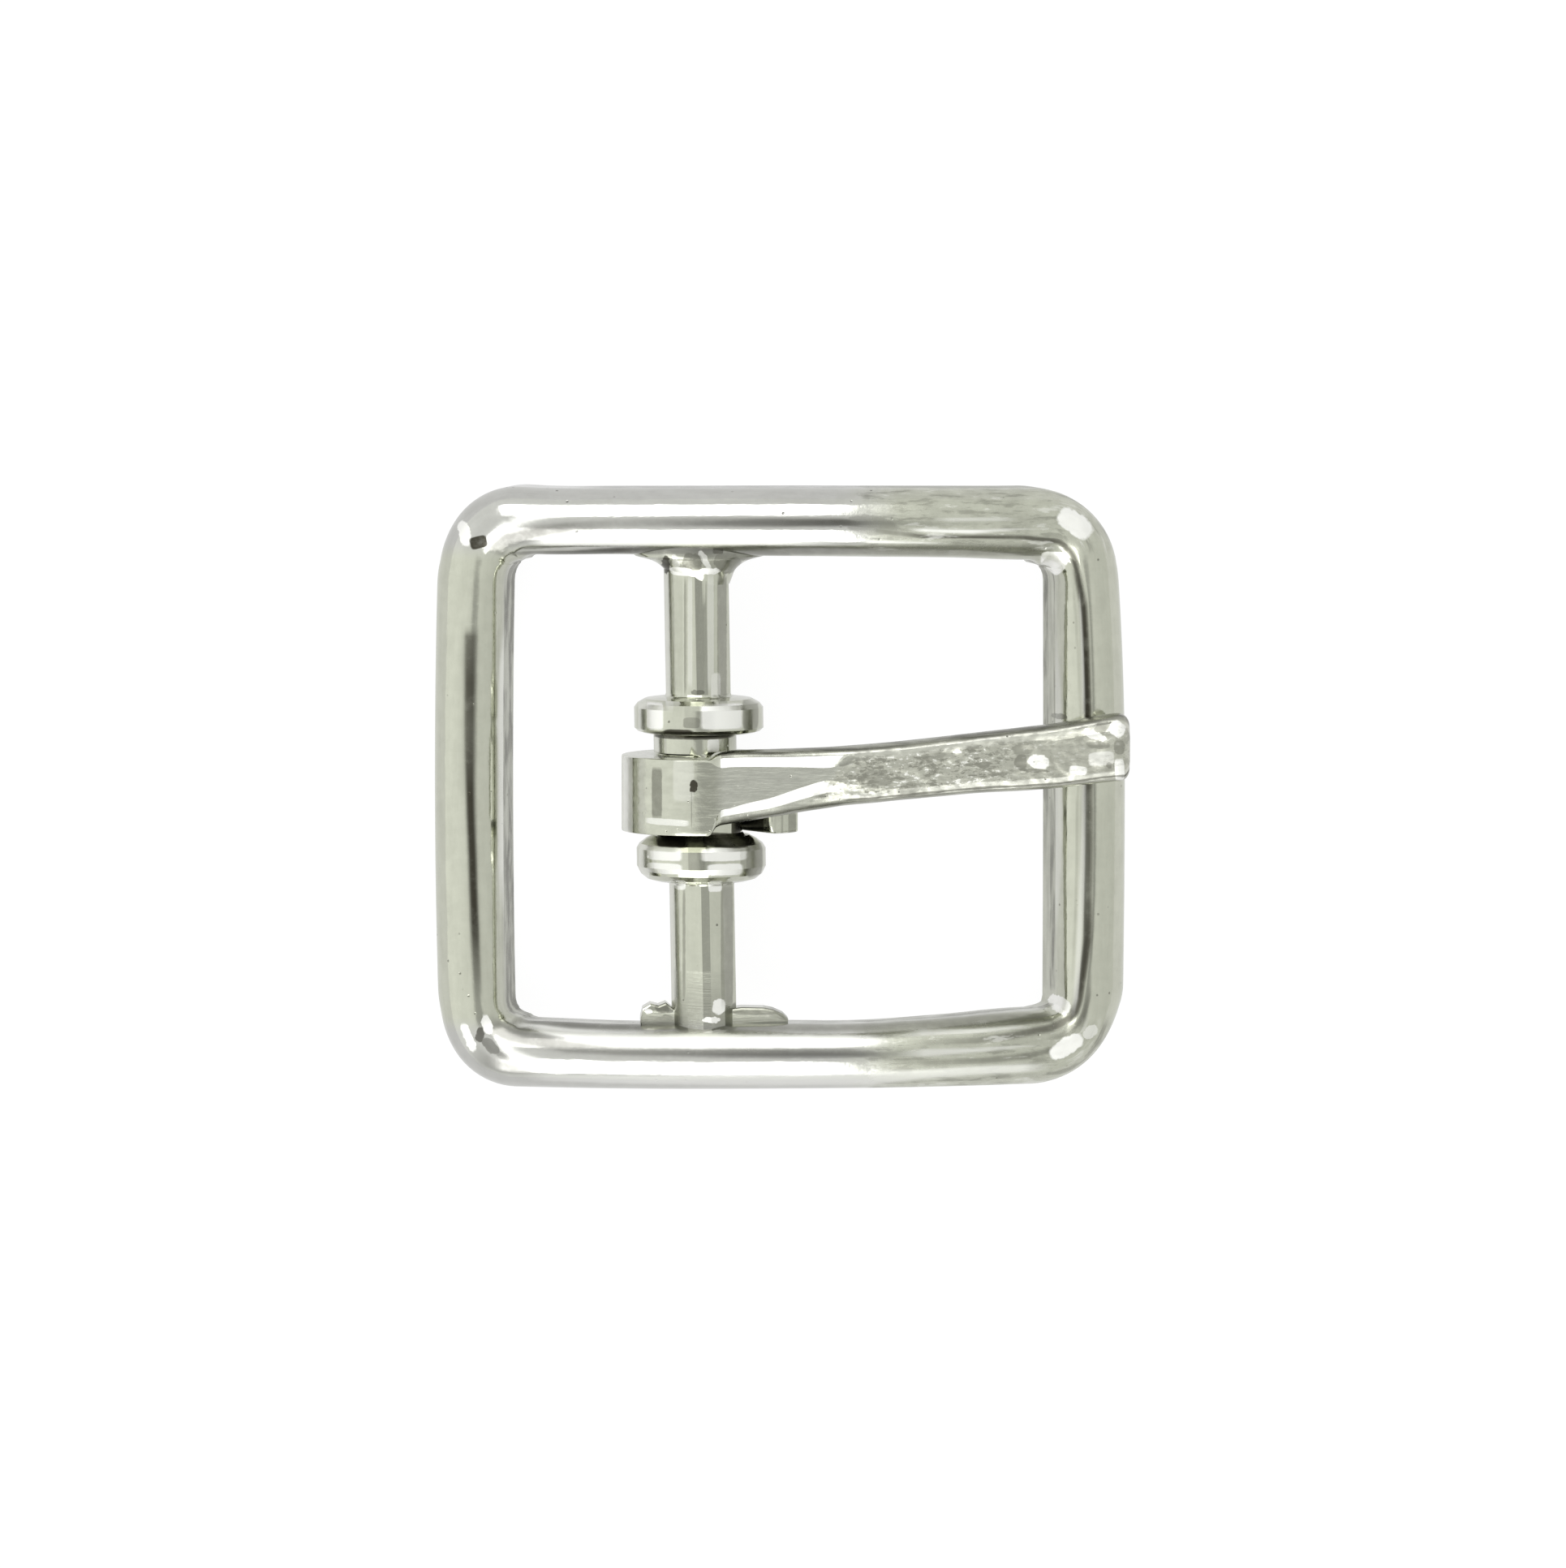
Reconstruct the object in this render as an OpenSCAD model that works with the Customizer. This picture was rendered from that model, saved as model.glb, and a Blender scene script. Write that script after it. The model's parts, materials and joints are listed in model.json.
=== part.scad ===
// Center bar buckle for a 19 mm strap: a cast frame that is arched along its length, with its centre bar
// and two collars, and a tongue whose eye turns on the barrel between the collars.
// X runs along the strap towards the tongue's tip, Y along the bar, Z up.
// The buckle lies on Z = 0 on its two end rails, and X = Y = 0 is the middle of its frame.

/* [Frame] */
// Clear height of the windows, which is the width of the strap
strap_w = 19; // [17:0.5:22]
// Width of a rail, which is also the width of its domed top
rail_w = 2.86; // [2.4:0.02:3]
// Height of a rail's straight wall, from the underside to the foot of the dome
rail_wall = 1.9; // [1.4:0.1:2.2]
// Rounding of a rail's two lower edges
rail_edge_r = 0.4; // [0.2:0.05:0.6]
// Radius of a corner along the middle of the rail
corner_r = 1.68; // [1.6:0.02:2.4]

/* [Arch] */
// Radius of the arch of the long rails at the foot of the dome
arch_r = 38.5; // [38:0.5:42]
// Half of the arch's angle, which is the slope of each end
arch_half = 16.26; // [14:0.01:17.5]
// Radius of the outward bow of the end rails
bow_r = 122; // [90:1:300]

/* [Centre bar] */
// Distance of the bar from the middle of the frame
bar_x = -3.3; // [-3.8:0.1:-2.8]
// Height of the bar's axis above the table
bar_z = 3.53; // [3.45:0.01:3.8]
// Diameter of the bar where the strap goes round it
bar_d = 2.66; // [2.2:0.02:2.8]
// Diameter of the barrel between the collars, on which the tongue turns
barrel_d = 3.4; // [3:0.05:3.4]
// Length of the barrel between the collars
barrel_l = 4.45; // [4.2:0.05:5]
// Outer diameter of a collar
collar_d = 5.3; // [4.6:0.1:5.6]
// Thickness of a collar
collar_t = 1.58; // [1.2:0.02:2]
// Rounding of a collar's two rims
collar_edge_r = 0.45; // [0.2:0.05:0.55]

/* [Tongue] */
// Radial running clearance of the eye on the barrel
eye_gap = 0.08; // [0.05:0.01:0.1]
// Width of the eye along the bar
eye_w = 3.33; // [2.8:0.01:3.6]
// Place of the eye's middle along the bar, a little towards the lower collar
eye_y = -0.35; // [-0.35:0.05:0.35]
// Thickness of the strip that is bent into the eye
strip_t = 1.44; // [1.2:0.02:1.44]
// Downward slope of the tongue from its eye to the far rail
tongue_slope = 4.35; // [4.2:0.01:4.35]
// Reach of the tongue from the bar's axis to its tip
tongue_l = 17.55; // [17.2:0.05:17.8]
// Angle below the level of the bar at which the strip's tail leaves the eye
tail_turn = 32.52; // [30:0.01:36]
// Length of the straight tail
tail_l = 2.5; // [2:0.1:2.5]

/* [Hidden] */
$fn = 64;
nickel = [0.79, 0.80, 0.76];
worn_nickel = [0.70, 0.71, 0.66];
dome_r = rail_w / 2;
rail_y = strap_w / 2 + dome_r;
corner_y = rail_y - corner_r;
bow_turn = asin(corner_y / bow_r);
// The end rail's lowest point is the outer rounding of its underside, and it sets the height of all
end_reach = corner_r + bow_r * (1 - cos(bow_turn));
sole_drop = (rail_wall - rail_edge_r) * cos(arch_half) + (dome_r - rail_edge_r) * sin(arch_half) + rail_edge_r;
arch_z = sole_drop + end_reach * sin(arch_half) - arch_r * cos(arch_half);
barrel_y = -0.03;
bore_r = barrel_d / 2 + eye_gap;
eye_r = bore_r + strip_t;
// A corner is cast this much fuller than the rails, whose ends lie inside it by the bite
fuller = 0.006;
bite = 0.05;
// A length past every face, for the blocks that trim the parts
far = 60;

// Root of the bar at the upper rail, from the bar to inside the rail.
// Columns: distance out of the rail's inner wall, half width along X, half height above the axis
root_rows = [
    [1.00, 1.220, 1.240],
    [0.78, 1.320, 1.325],
    [0.58, 1.420, 1.370],
    [0.38, 1.570, 1.410],
    [0.22, 1.810, 1.450],
    [0.09, 2.180, 1.485],
    [-0.05, 2.760, 1.515],
    [-0.55, 3.300, 1.570]
];

// Casting pad at the bar's lower root. Columns: X, height above the rail's inner wall
pad_rows = [
    [-5.75, 0.10],
    [-5.62, 0.42],
    [-5.35, 0.60],
    [-4.95, 0.52],
    [-4.70, 0.60],
    [-4.30, 0.30],
    [-2.10, 0.32],
    [-1.70, 0.44],
    [-0.85, 0.42],
    [-0.40, 0.32],
    [0.10, 0.16],
    [0.30, 0.02]
];

// Inner corners of the frame. Columns: 1 to mirror in X, 1 to mirror in Y, radius of the web
web_rows = [
    [0, 0, 0.95],
    [1, 0, 0.75],
    [1, 1, 0.60],
    [0, 1, 0.35]
];

// Shank of the tongue, in the frame of the slope, where the flat on its top is at eye_r.
// Columns: distance from the bar's axis, upper edge, lower edge, top before the flat is cut, underside, squareness
shank_rows = [
    [-0.2, 1.29, -1.99, 3.82, 1.82, 7.0],
    [0.0, 1.30, -2.00, 3.78, 1.81, 6.0],
    [0.4, 1.34, -1.86, 3.62, 1.77, 4.6],
    [0.9, 1.50, -1.62, 3.42, 1.70, 3.2],
    [1.5, 1.62, -1.47, 3.31, 1.61, 2.6],
    [2.6, 1.65, -1.32, 3.25, 1.53, 2.3],
    [3.9, 1.65, -1.05, 3.25, 1.49, 2.3],
    [4.9, 1.69, -0.84, 3.24, 1.47, 2.3],
    [5.9, 1.76, -0.69, 3.22, 1.46, 2.3],
    [7.9, 1.93, -0.48, 3.20, 1.46, 2.4],
    [9.6, 2.10, -0.34, 3.19, 1.46, 2.4],
    [11.2, 2.28, -0.20, 3.18, 1.46, 2.5],
    [12.9, 2.48, -0.10, 3.18, 1.46, 2.6],
    [14.5, 2.68, 0.04, 3.20, 1.46, 2.8],
    [15.8, 2.93, 0.20, 3.22, 1.45, 3.0],
    [16.8, 3.06, 0.36, 3.18, 1.38, 3.2],
    [17.6, 3.00, 0.34, 2.98, 1.16, 3.4]
];
shank_step = 0.55;
shank_pts = 28;
tip_round = 0.45;
tip_steps = 5;
// The shank starts this far inside the eye, and its flat lies a hair under the eye's top
root_l = 0.15;
flat_step = 0.005;

// One rail's section, grown by a little where asked: X across, Y up from the foot of the dome
module rail_section(grow = 0) {
    r = dome_r + grow;
    wall = rail_wall + grow - rail_edge_r;
    foot = r - rail_edge_r;
    intersection() {
        circle(r = r);
        translate([-r, 0]) square([2 * r, r]);
    }
    translate([-r, -wall]) square([2 * r, wall]);
    translate([-foot, -wall - rail_edge_r]) square([2 * foot, rail_edge_r]);
    for (side = [0, 1]) mirror([side, 0]) translate([foot, -wall]) intersection() {
        circle(r = rail_edge_r);
        translate([0, -rail_edge_r]) square(rail_edge_r);
    }
}

// The end of the arch: X on from the long rail, Z away from the arch's centre
module at_end() {
    rotate([0, arch_half, 0]) translate([0, 0, arch_r]) children();
}

function arc_angle(length, r) = length / r * 180 / PI;

// A long rail, arched over the middle
module long_rail() {
    half = arch_half + arc_angle(bite, arch_r);
    translate([0, rail_y, 0]) rotate([90, 0, 0])
        rotate_extrude(start = 90 - half, angle = 2 * half)
            translate([arch_r, 0]) rotate(-90) rail_section();
}

module corner() {
    at_end() translate([0, corner_y, 0])
        rotate_extrude(start = bow_turn, angle = 90 - bow_turn)
            translate([corner_r, 0]) rail_section(fuller);
}

// An end rail, bowed outwards in the slope of the arch's end
module end_rail() {
    half = bow_turn + arc_angle(bite, bow_r);
    at_end() translate([-bow_r * cos(bow_turn), 0, 0])
        rotate_extrude(start = -half, angle = 2 * half)
            translate([bow_r + corner_r, 0]) rail_section();
}

// The web that rounds an inner corner, under the dome. It meets each wall at a slight angle
module corner_web(r) {
    wall = rail_wall - rail_edge_r;
    inner = corner_r - dome_r;
    meet = 0.975;
    reach = 0.9 * r;
    at_end() translate([inner, corner_y + inner, -wall + 0.06]) difference() {
        translate([-reach, -reach, 0]) cube([reach + 0.5, reach + 0.5, wall + 0.2]);
        translate([-r * meet, -r * meet, -1]) cylinder(r = r, h = wall + 2);
    }
}

module rails() {
    color(nickel) {
        for (side = [0, 1]) mirror([0, side, 0]) long_rail();
        for (end = [0, 1]) mirror([end, 0, 0]) {
            end_rail();
            for (side = [0, 1]) mirror([0, side, 0]) corner();
        }
        for (row = web_rows) mirror([row[0], 0, 0]) mirror([0, row[1], 0]) corner_web(row[2]);
    }
}

// Half section of one collar, from the axis outwards, centred on its thickness
module collar_section() {
    half = collar_t / 2 - collar_edge_r;
    rim = collar_d / 2 - collar_edge_r;
    translate([0, -collar_t / 2]) square([rim, collar_t]);
    translate([rim, -half]) square([collar_edge_r, 2 * half]);
    for (side = [0, 1]) mirror([0, side]) translate([rim, half]) intersection() {
        circle(r = collar_edge_r);
        square(collar_edge_r);
    }
}

// The bar, its barrel and both collars are one turned form along Y
module centre_bar() {
    collar_y = (barrel_l + collar_t) / 2;
    color(nickel) translate([bar_x, 0, bar_z]) rotate([-90, 0, 0]) rotate_extrude() {
        translate([0, -rail_y]) square([bar_d / 2, 2 * rail_y]);
        translate([0, barrel_y - barrel_l / 2]) square([barrel_d / 2, barrel_l]);
        for (side = [-1, 1]) translate([0, barrel_y + side * collar_y]) collar_section();
    }
}

// A closed skin over a list of rings that have equal numbers of points
module skin(rings) {
    n = len(rings[0]);
    last = len(rings) - 1;
    polyhedron(
        points = [for (ring = rings, p = ring) p],
        faces = concat(
            [[for (i = [0 : n - 1]) i]],
            [for (k = [0 : last - 1], i = [0 : n - 1], half = [0, 1])
                let (a = k * n + i, b = k * n + (i + 1) % n)
                half == 0 ? [a, a + n, b] : [b, a + n, b + n]],
            [[for (i = [n - 1 : -1 : 0]) last * n + i]]
        )
    );
}

// The upper end of the bar spreads into the rail
module bar_root() {
    pts = 28;
    rings = [for (row = root_rows) [for (i = [0 : pts - 1])
        let (a = -360 * (i + 0.5) / pts, up = sin(a) > 0 ? row[2] : min(row[2], bar_d / 2 - 0.02))
        [bar_x + row[1] * cos(a), strap_w / 2 - row[0], bar_z + up * sin(a)]]];
    color(nickel) skin(rings);
}

// The rough pad at the lower end of the bar
module bar_pad() {
    sunk = 0.5;
    wall_y = -strap_w / 2;
    outline = concat(
        [[pad_rows[0][0], wall_y - sunk]],
        [for (row = pad_rows) [row[0], wall_y + row[1]]],
        [[pad_rows[len(pad_rows) - 1][0], wall_y - sunk]]
    );
    color(worn_nickel) translate([0, 0, bar_z - 0.75]) linear_extrude(1.25) polygon(outline);
}

module frame() {
    translate([0, 0, arch_z]) rails();
    centre_bar();
    bar_root();
    bar_pad();
}

// Section of the strip: X outwards from the bar's axis, Y along the bar
module strip_section() {
    edge = 0.25;
    low = eye_y - eye_w / 2;
    translate([bore_r, low]) square([strip_t - edge, eye_w]);
    translate([eye_r - edge, low + edge]) square([edge, eye_w - 2 * edge]);
    translate([0, eye_y]) for (side = [0, 1]) mirror([0, side]) translate([eye_r - edge, eye_w / 2 - edge])
        intersection() {
            circle(r = edge);
            square(edge);
        }
}

// The strip from above the bar round it to the start of the tail
module eye() {
    color(nickel) difference() {
        rotate([-90, 0, 0]) rotate_extrude() strip_section();
        intersection() {
            rotate([0, tongue_slope, 0]) translate([0, -far / 2, -far / 2]) cube(far);
            rotate([0, tail_turn, 0]) translate([-far / 2, -far / 2, 0]) cube(far);
        }
    }
}

module tail() {
    color(nickel) rotate([0, tail_turn, 0]) linear_extrude(tail_l) strip_section();
}

// Smooth value of one column of a table at x, by a cubic through its rows
function row_at(rows, x, i = 0) = i >= len(rows) - 2 || rows[i + 1][0] >= x ? i : row_at(rows, x, i + 1);
function slope_at(rows, i, c) =
    let (a = max(i - 1, 0), b = min(i + 1, len(rows) - 1))
    (rows[b][c] - rows[a][c]) / (rows[b][0] - rows[a][0]);
function value_at(rows, x, c) =
    let (
        i = row_at(rows, x),
        w = rows[i + 1][0] - rows[i][0],
        t = (x - rows[i][0]) / w
    )
    rows[i][c] * (2 * t ^ 3 - 3 * t ^ 2 + 1)
    + slope_at(rows, i, c) * w * (t ^ 3 - 2 * t ^ 2 + t)
    + rows[i + 1][c] * (3 * t ^ 2 - 2 * t ^ 3)
    + slope_at(rows, i + 1, c) * w * (t ^ 3 - t ^ 2);

function signed_power(v, p) = sign(v) * abs(v) ^ p;

// One ring of the shank. The last stretch draws in by a quarter circle, which rounds the tip
function shank_ring(x) =
    let (
        past = max(0, x - (tongue_l - tip_round)),
        draw_in = tip_round - sqrt(max(0, tip_round ^ 2 - past ^ 2)),
        hi = value_at(shank_rows, x, 1) - draw_in,
        lo = value_at(shank_rows, x, 2) + draw_in,
        top = value_at(shank_rows, x, 3) - draw_in,
        bot = value_at(shank_rows, x, 4) + draw_in,
        power = 2 / value_at(shank_rows, x, 5)
    )
    [for (i = [0 : shank_pts - 1])
        let (a = -360 * (i + 0.5) / shank_pts)
        [x, (hi + lo) / 2 - (hi - lo) / 2 * signed_power(cos(a), power),
            (top + bot) / 2 + (top - bot) / 2 * signed_power(sin(a), power)]];

// The shank is a rounded bar with a flat on its top that runs out to a point
module shank() {
    straight = tongue_l - tip_round;
    steps = round((straight + root_l) / shank_step);
    stations = concat(
        [for (k = [0 : steps]) -root_l + (straight + root_l) * k / steps],
        [for (k = [1 : tip_steps]) straight + tip_round * sin(90 * k / tip_steps)]
    );
    color(worn_nickel) intersection() {
        skin([for (x = stations) shank_ring(x)]);
        translate([-far / 2, -far / 2, eye_r - flat_step - far]) cube(far);
    }
}

module tongue() {
    translate([bar_x, 0, bar_z]) {
        eye();
        tail();
        rotate([0, tongue_slope, 0]) shank();
    }
}

frame();
tongue();
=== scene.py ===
"""Dresses the center bar buckle: a cast and plated frame, its tongue, and the studio it lies in."""
import json
import math

import bmesh
import bpy
import numpy as np
from mathutils import Matrix, Vector, noise


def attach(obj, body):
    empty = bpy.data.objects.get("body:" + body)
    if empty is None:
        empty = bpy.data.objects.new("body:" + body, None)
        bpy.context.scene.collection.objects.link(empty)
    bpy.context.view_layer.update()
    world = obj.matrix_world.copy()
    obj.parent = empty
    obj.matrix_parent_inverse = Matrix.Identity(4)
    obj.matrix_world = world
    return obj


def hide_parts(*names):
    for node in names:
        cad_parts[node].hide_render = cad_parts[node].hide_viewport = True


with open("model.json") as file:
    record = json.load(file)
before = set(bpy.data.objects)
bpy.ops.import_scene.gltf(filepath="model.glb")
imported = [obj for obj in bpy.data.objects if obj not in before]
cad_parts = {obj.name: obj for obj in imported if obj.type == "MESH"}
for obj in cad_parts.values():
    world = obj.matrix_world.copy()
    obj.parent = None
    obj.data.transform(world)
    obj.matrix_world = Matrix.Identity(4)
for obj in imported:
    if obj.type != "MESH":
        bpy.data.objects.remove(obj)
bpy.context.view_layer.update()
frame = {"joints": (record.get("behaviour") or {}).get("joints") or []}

bl_info = {
    "name": "Center Bar Buckle",
    "version": (1, 0, 0),
    "blender": (4, 5, 0),
    "location": "View3D > Sidebar > Buckle",
    "description": "Builds a cast center bar buckle and the studio it lies in",
    "category": "Add Mesh",
}

MM = 0.001
PIVOT = Vector(frame["joints"][0]["pos_m"])
# How much longer the metal's grain is than it is wide
GRAIN_STRETCH = 7.0
# Share of the rings' spacing that the corners have, and the points of a rail's section: their spacing in
# millimetres, and how many round each of its corners
CORNER_SPACING = 0.6
SECTION_SPACING = 0.062
SECTION_ROUNDING = 48


def length_prop(name, description, millimetres):
    return bpy.props.FloatProperty(
        name=name,
        description=description,
        default=millimetres * MM,
        unit="LENGTH",
        subtype="DISTANCE",
        precision=5,
    )


def angle_prop(name, description, degrees):
    return bpy.props.FloatProperty(
        name=name, description=description, default=math.radians(degrees), unit="ROTATION", subtype="ANGLE"
    )


def colour_prop(name, description, colour):
    return bpy.props.FloatVectorProperty(
        name=name, description=description, default=colour, size=3, min=0.0, max=1.0, subtype="COLOR"
    )


def share_prop(name, description, value):
    return bpy.props.FloatProperty(name=name, description=description, default=value, min=0.0, soft_max=2.0)


class BuckleFrameSettings(bpy.types.PropertyGroup):
    """Sizes of the cast frame"""

    strap_width: length_prop("Strap Width", "Clear height of the windows", 19.0)
    rail_width: length_prop("Rail Width", "Width of a rail and of its domed top", 2.86)
    rail_wall: length_prop("Rail Wall", "Height of a rail's straight wall", 1.9)
    rail_edge: length_prop("Lower Edge", "Rounding of a rail's lower edges", 0.4)
    corner_radius: length_prop("Corner Radius", "Radius of a corner along the middle of the rail", 1.68)
    arch_radius: length_prop("Arch Radius", "Radius of the arch at the foot of the dome", 38.5)
    arch_half: angle_prop("Arch Half Angle", "Slope of each end of the arch", 16.26)
    bow_radius: length_prop("Bow Radius", "Radius of the outward bow of the end rails", 122.0)
    ring_spacing: length_prop("Ring Spacing", "Distance between the rails' rings", 0.24)


class BuckleBarSettings(bpy.types.PropertyGroup):
    """Sizes of the center bar"""

    bar_diameter: length_prop("Bar Diameter", "Diameter where the strap goes round the bar", 2.66)
    barrel_diameter: length_prop("Barrel Diameter", "Diameter between the collars", 3.4)
    barrel_length: length_prop("Barrel Length", "Length between the collars", 4.45)
    barrel_shift: length_prop("Barrel Shift", "Place of the barrel's middle along the bar", -0.03)
    collar_diameter: length_prop("Collar Diameter", "Outer diameter of a collar", 5.3)
    collar_thickness: length_prop("Collar Thickness", "Thickness of a collar", 1.58)
    bar_lean: angle_prop("Bar Lean", "Lean of the cast bar from the line of its joint", 1.0)


class BuckleTongueSettings(bpy.types.PropertyGroup):
    """Sizes of the tongue"""

    strip_thickness: length_prop("Strip Thickness", "Thickness of the strip that forms the eye", 1.44)
    eye_width: length_prop("Eye Width", "Width of the eye along the bar", 3.17)
    eye_shift: length_prop("Eye Shift", "Place of the eye's middle along the bar", -0.18)
    eye_gap: length_prop("Eye Gap", "Running clearance of the eye on the barrel", 0.08)
    slope: angle_prop("Slope", "Downward slope of the tongue to the far rail", 4.35)
    reach: length_prop("Reach", "Reach from the bar's axis to the tip", 17.44)
    tail_angle: angle_prop("Tail Angle", "Turn below the level at which the tail leaves the eye", 32.52)
    tail_length: length_prop("Tail Length", "Length of the straight tail", 2.5)


class BuckleFinishSettings(bpy.types.PropertyGroup):
    """Colours of the plating"""

    nickel: colour_prop("Nickel", "Reflection colour of the plating", (0.620, 0.632, 0.540))
    clean_nickel: colour_prop(
        "Clean Nickel", "Reflection colour of the long rails' cleaner left half", (0.60, 0.60, 0.575)
    )
    worn_nickel: colour_prop("Worn Nickel", "Reflection colour of the dull cast plating", (0.56, 0.565, 0.48))
    # Tarnish: the colour of real soot in pits and streaks, and the colour that painted shade, painted shadows
    # and painted dark reflections mix to
    tarnish_and_shade: colour_prop("Tarnish", "Colour of the soot in hollows, lines and pits", (0.058, 0.055, 0.042))
    # Burnish: the colour of rubbed bright spots, and the colour that painted highlights and painted
    # reflections mix to
    burnish_and_highlight: colour_prop("Burnish", "Reflection colour of rubbed bright spots", (0.98, 0.98, 0.95))


class BuckleStageSettings(bpy.types.PropertyGroup):
    """Camera and light"""

    camera_distance: bpy.props.FloatProperty(
        name="Camera Distance",
        description="Distance of the camera from the buckle",
        default=0.6,
        unit="LENGTH",
    )
    frame_height: length_prop("Frame Height", "Height that the photograph's frame spans at the buckle", 64.34)
    lean_up: angle_prop("Lean Up", "Lean of the camera towards +Y from straight down", 4.5)
    lean_left: angle_prop("Lean Left", "Lean of the camera towards -X from straight down", 2.0)
    surround_level: share_prop("Surround Level", "Brightness of the surround", 0.93)
    surround_slant: share_prop("Surround Slant", "How much the surround dims towards +X", 0.15)
    overhead_share: share_prop(
        "Overhead Share", "Brightness of the dim patch overhead against the surround", 0.55
    )
    floor_glow: share_prop("Floor Glow", "Brightness of the lit floor to the camera", 0.93)
    floor_reflected: share_prop("Floor Reflected", "Brightness of the lit floor in reflections", 0.74)


# Geometry by rule


def at_end(side, along, across, cfg):
    """A point in the sloping frame of the arch's end: side is 1 or -1, lengths in metres"""
    a, radial = cfg.arch_half, cfg.arch_radius
    x = along * math.cos(a) + radial * math.sin(a)
    z = -along * math.sin(a) + radial * math.cos(a)
    return Vector((side * x, across, z))


def rail_line(cfg):
    """Points along the rails at the foot of the dome, and the directions up and towards the window at each"""
    dome = cfg.rail_width / 2
    rail_y = cfg.strap_width / 2 + dome
    corner_y = rail_y - cfg.corner_radius
    bow = math.asin(corner_y / cfg.bow_radius)
    reach = cfg.corner_radius + cfg.bow_radius * (1 - math.cos(bow))
    foot = cfg.rail_edge
    sole = (cfg.rail_wall - foot) * math.cos(cfg.arch_half) + (dome - foot) * math.sin(cfg.arch_half) + foot
    arch_z = sole + reach * math.sin(cfg.arch_half) - cfg.arch_radius * math.cos(cfg.arch_half)
    slope = Vector((math.sin(cfg.arch_half), 0, math.cos(cfg.arch_half)))
    points, ups, inwards = [], [], []

    def add(point, up, inward):
        points.append(point + Vector((0, 0, arch_z)))
        ups.append(up)
        inwards.append(inward)

    def end_arc(side, centre, radius, start, stop, spacing):
        steps = max(2, round(abs(stop - start) * radius / spacing))
        for k in range(steps):
            t = start + (stop - start) * k / steps
            out = Vector((side * math.cos(t) * slope.z, math.sin(t), -math.cos(t) * slope.x))
            add(
                at_end(side, centre[0] + radius * math.cos(t), centre[1] + radius * math.sin(t), cfg),
                Vector((side * slope.x, 0, slope.z)),
                -out,
            )

    fine = cfg.ring_spacing * CORNER_SPACING
    bow_centre = (-cfg.bow_radius * math.cos(bow), 0)
    bow_reach = cfg.bow_radius + cfg.corner_radius
    for side, sense in ((1, 1), (-1, -1)):
        steps = round(2 * cfg.arch_half * cfg.arch_radius / cfg.ring_spacing)
        for k in range(steps):
            a = side * cfg.arch_half * (2 * k / steps - 1)
            up = Vector((math.sin(a), 0, math.cos(a)))
            add(up * cfg.arch_radius + Vector((0, side * rail_y, 0)), up, Vector((0, -side, 0)))
        quarter = sense * math.pi / 2
        end_arc(side, (0, sense * corner_y), cfg.corner_radius, quarter, sense * bow, fine)
        end_arc(side, bow_centre, bow_reach, sense * bow, -sense * bow, cfg.ring_spacing)
        end_arc(side, (0, -sense * corner_y), cfg.corner_radius, -sense * bow, -quarter, fine)
    return points, ups, inwards, Vector((0, 0, arch_z))


def row_values(rows, x):
    """All columns of a table at x, by a cubic through its rows"""
    i = 0
    while i < len(rows) - 2 and rows[i + 1][0] < x:
        i += 1
    a, b = rows[i], rows[i + 1]
    before, after = rows[max(i - 1, 0)], rows[min(i + 2, len(rows) - 1)]
    width = b[0] - a[0]
    t = min(max((x - a[0]) / width, 0.0), 1.0)
    values = []
    for c in range(1, len(a)):
        slope_a = (b[c] - before[c]) / (b[0] - before[0])
        slope_b = (after[c] - a[c]) / (after[0] - a[0])
        values.append(
            a[c] * (2 * t**3 - 3 * t**2 + 1)
            + slope_a * width * (t**3 - 2 * t**2 + t)
            + b[c] * (3 * t**2 - 2 * t**3)
            + slope_b * width * (t**3 - t**2)
        )
    return values


def loft(rings):
    """Vertices and faces of a closed skin over rings of equal length"""
    count = len(rings[0])
    vertices = [point for ring in rings for point in ring]
    faces = []
    for k in range(len(rings) - 1):
        for i in range(count):
            j = (i + 1) % count
            faces.append((k * count + i, k * count + j, (k + 1) * count + j, (k + 1) * count + i))
    faces.append(tuple(reversed(range(count))))
    faces.append(tuple((len(rings) - 1) * count + i for i in range(count)))
    return vertices, faces


def add_object(name, data):
    """A new object in the scene"""
    made = bpy.data.objects.new(name, data)
    bpy.context.scene.collection.objects.link(made)
    return made


def plain_copy(piece, name):
    """A new object with the mesh that a piece's modifiers make"""
    graph = bpy.context.evaluated_depsgraph_get()
    mesh = bpy.data.meshes.new_from_object(piece.evaluated_get(graph))
    mesh.name = name
    return add_object(name, mesh)


def coordinates(mesh):
    """The places of a mesh's points, one row for each"""
    place = np.empty(len(mesh.vertices) * 3)
    mesh.vertices.foreach_get("co", place)
    return place.reshape(-1, 3)


def store(mesh, name, values):
    """Keeps a number or a vector for each of a mesh's points as an attribute"""
    values = np.array(values, dtype=float)
    kind, field = ("FLOAT_VECTOR", "vector") if values.ndim == 2 else ("FLOAT", "value")
    mesh.attributes.new(name, kind, "POINT").data.foreach_set(field, values.reshape(-1))


def mesh_object(name, vertices, faces):
    mesh = bpy.data.meshes.new(name)
    mesh.from_pydata([tuple(v) for v in vertices], [], faces)
    mesh.validate()
    mesh.update()
    recalculate(mesh)
    return add_object(name, mesh)


def recalculate(mesh):
    bm = bmesh.new()
    bm.from_mesh(mesh)
    bmesh.ops.recalc_face_normals(bm, faces=bm.faces)
    bm.to_mesh(mesh)
    bm.free()
    mesh.update()


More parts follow.
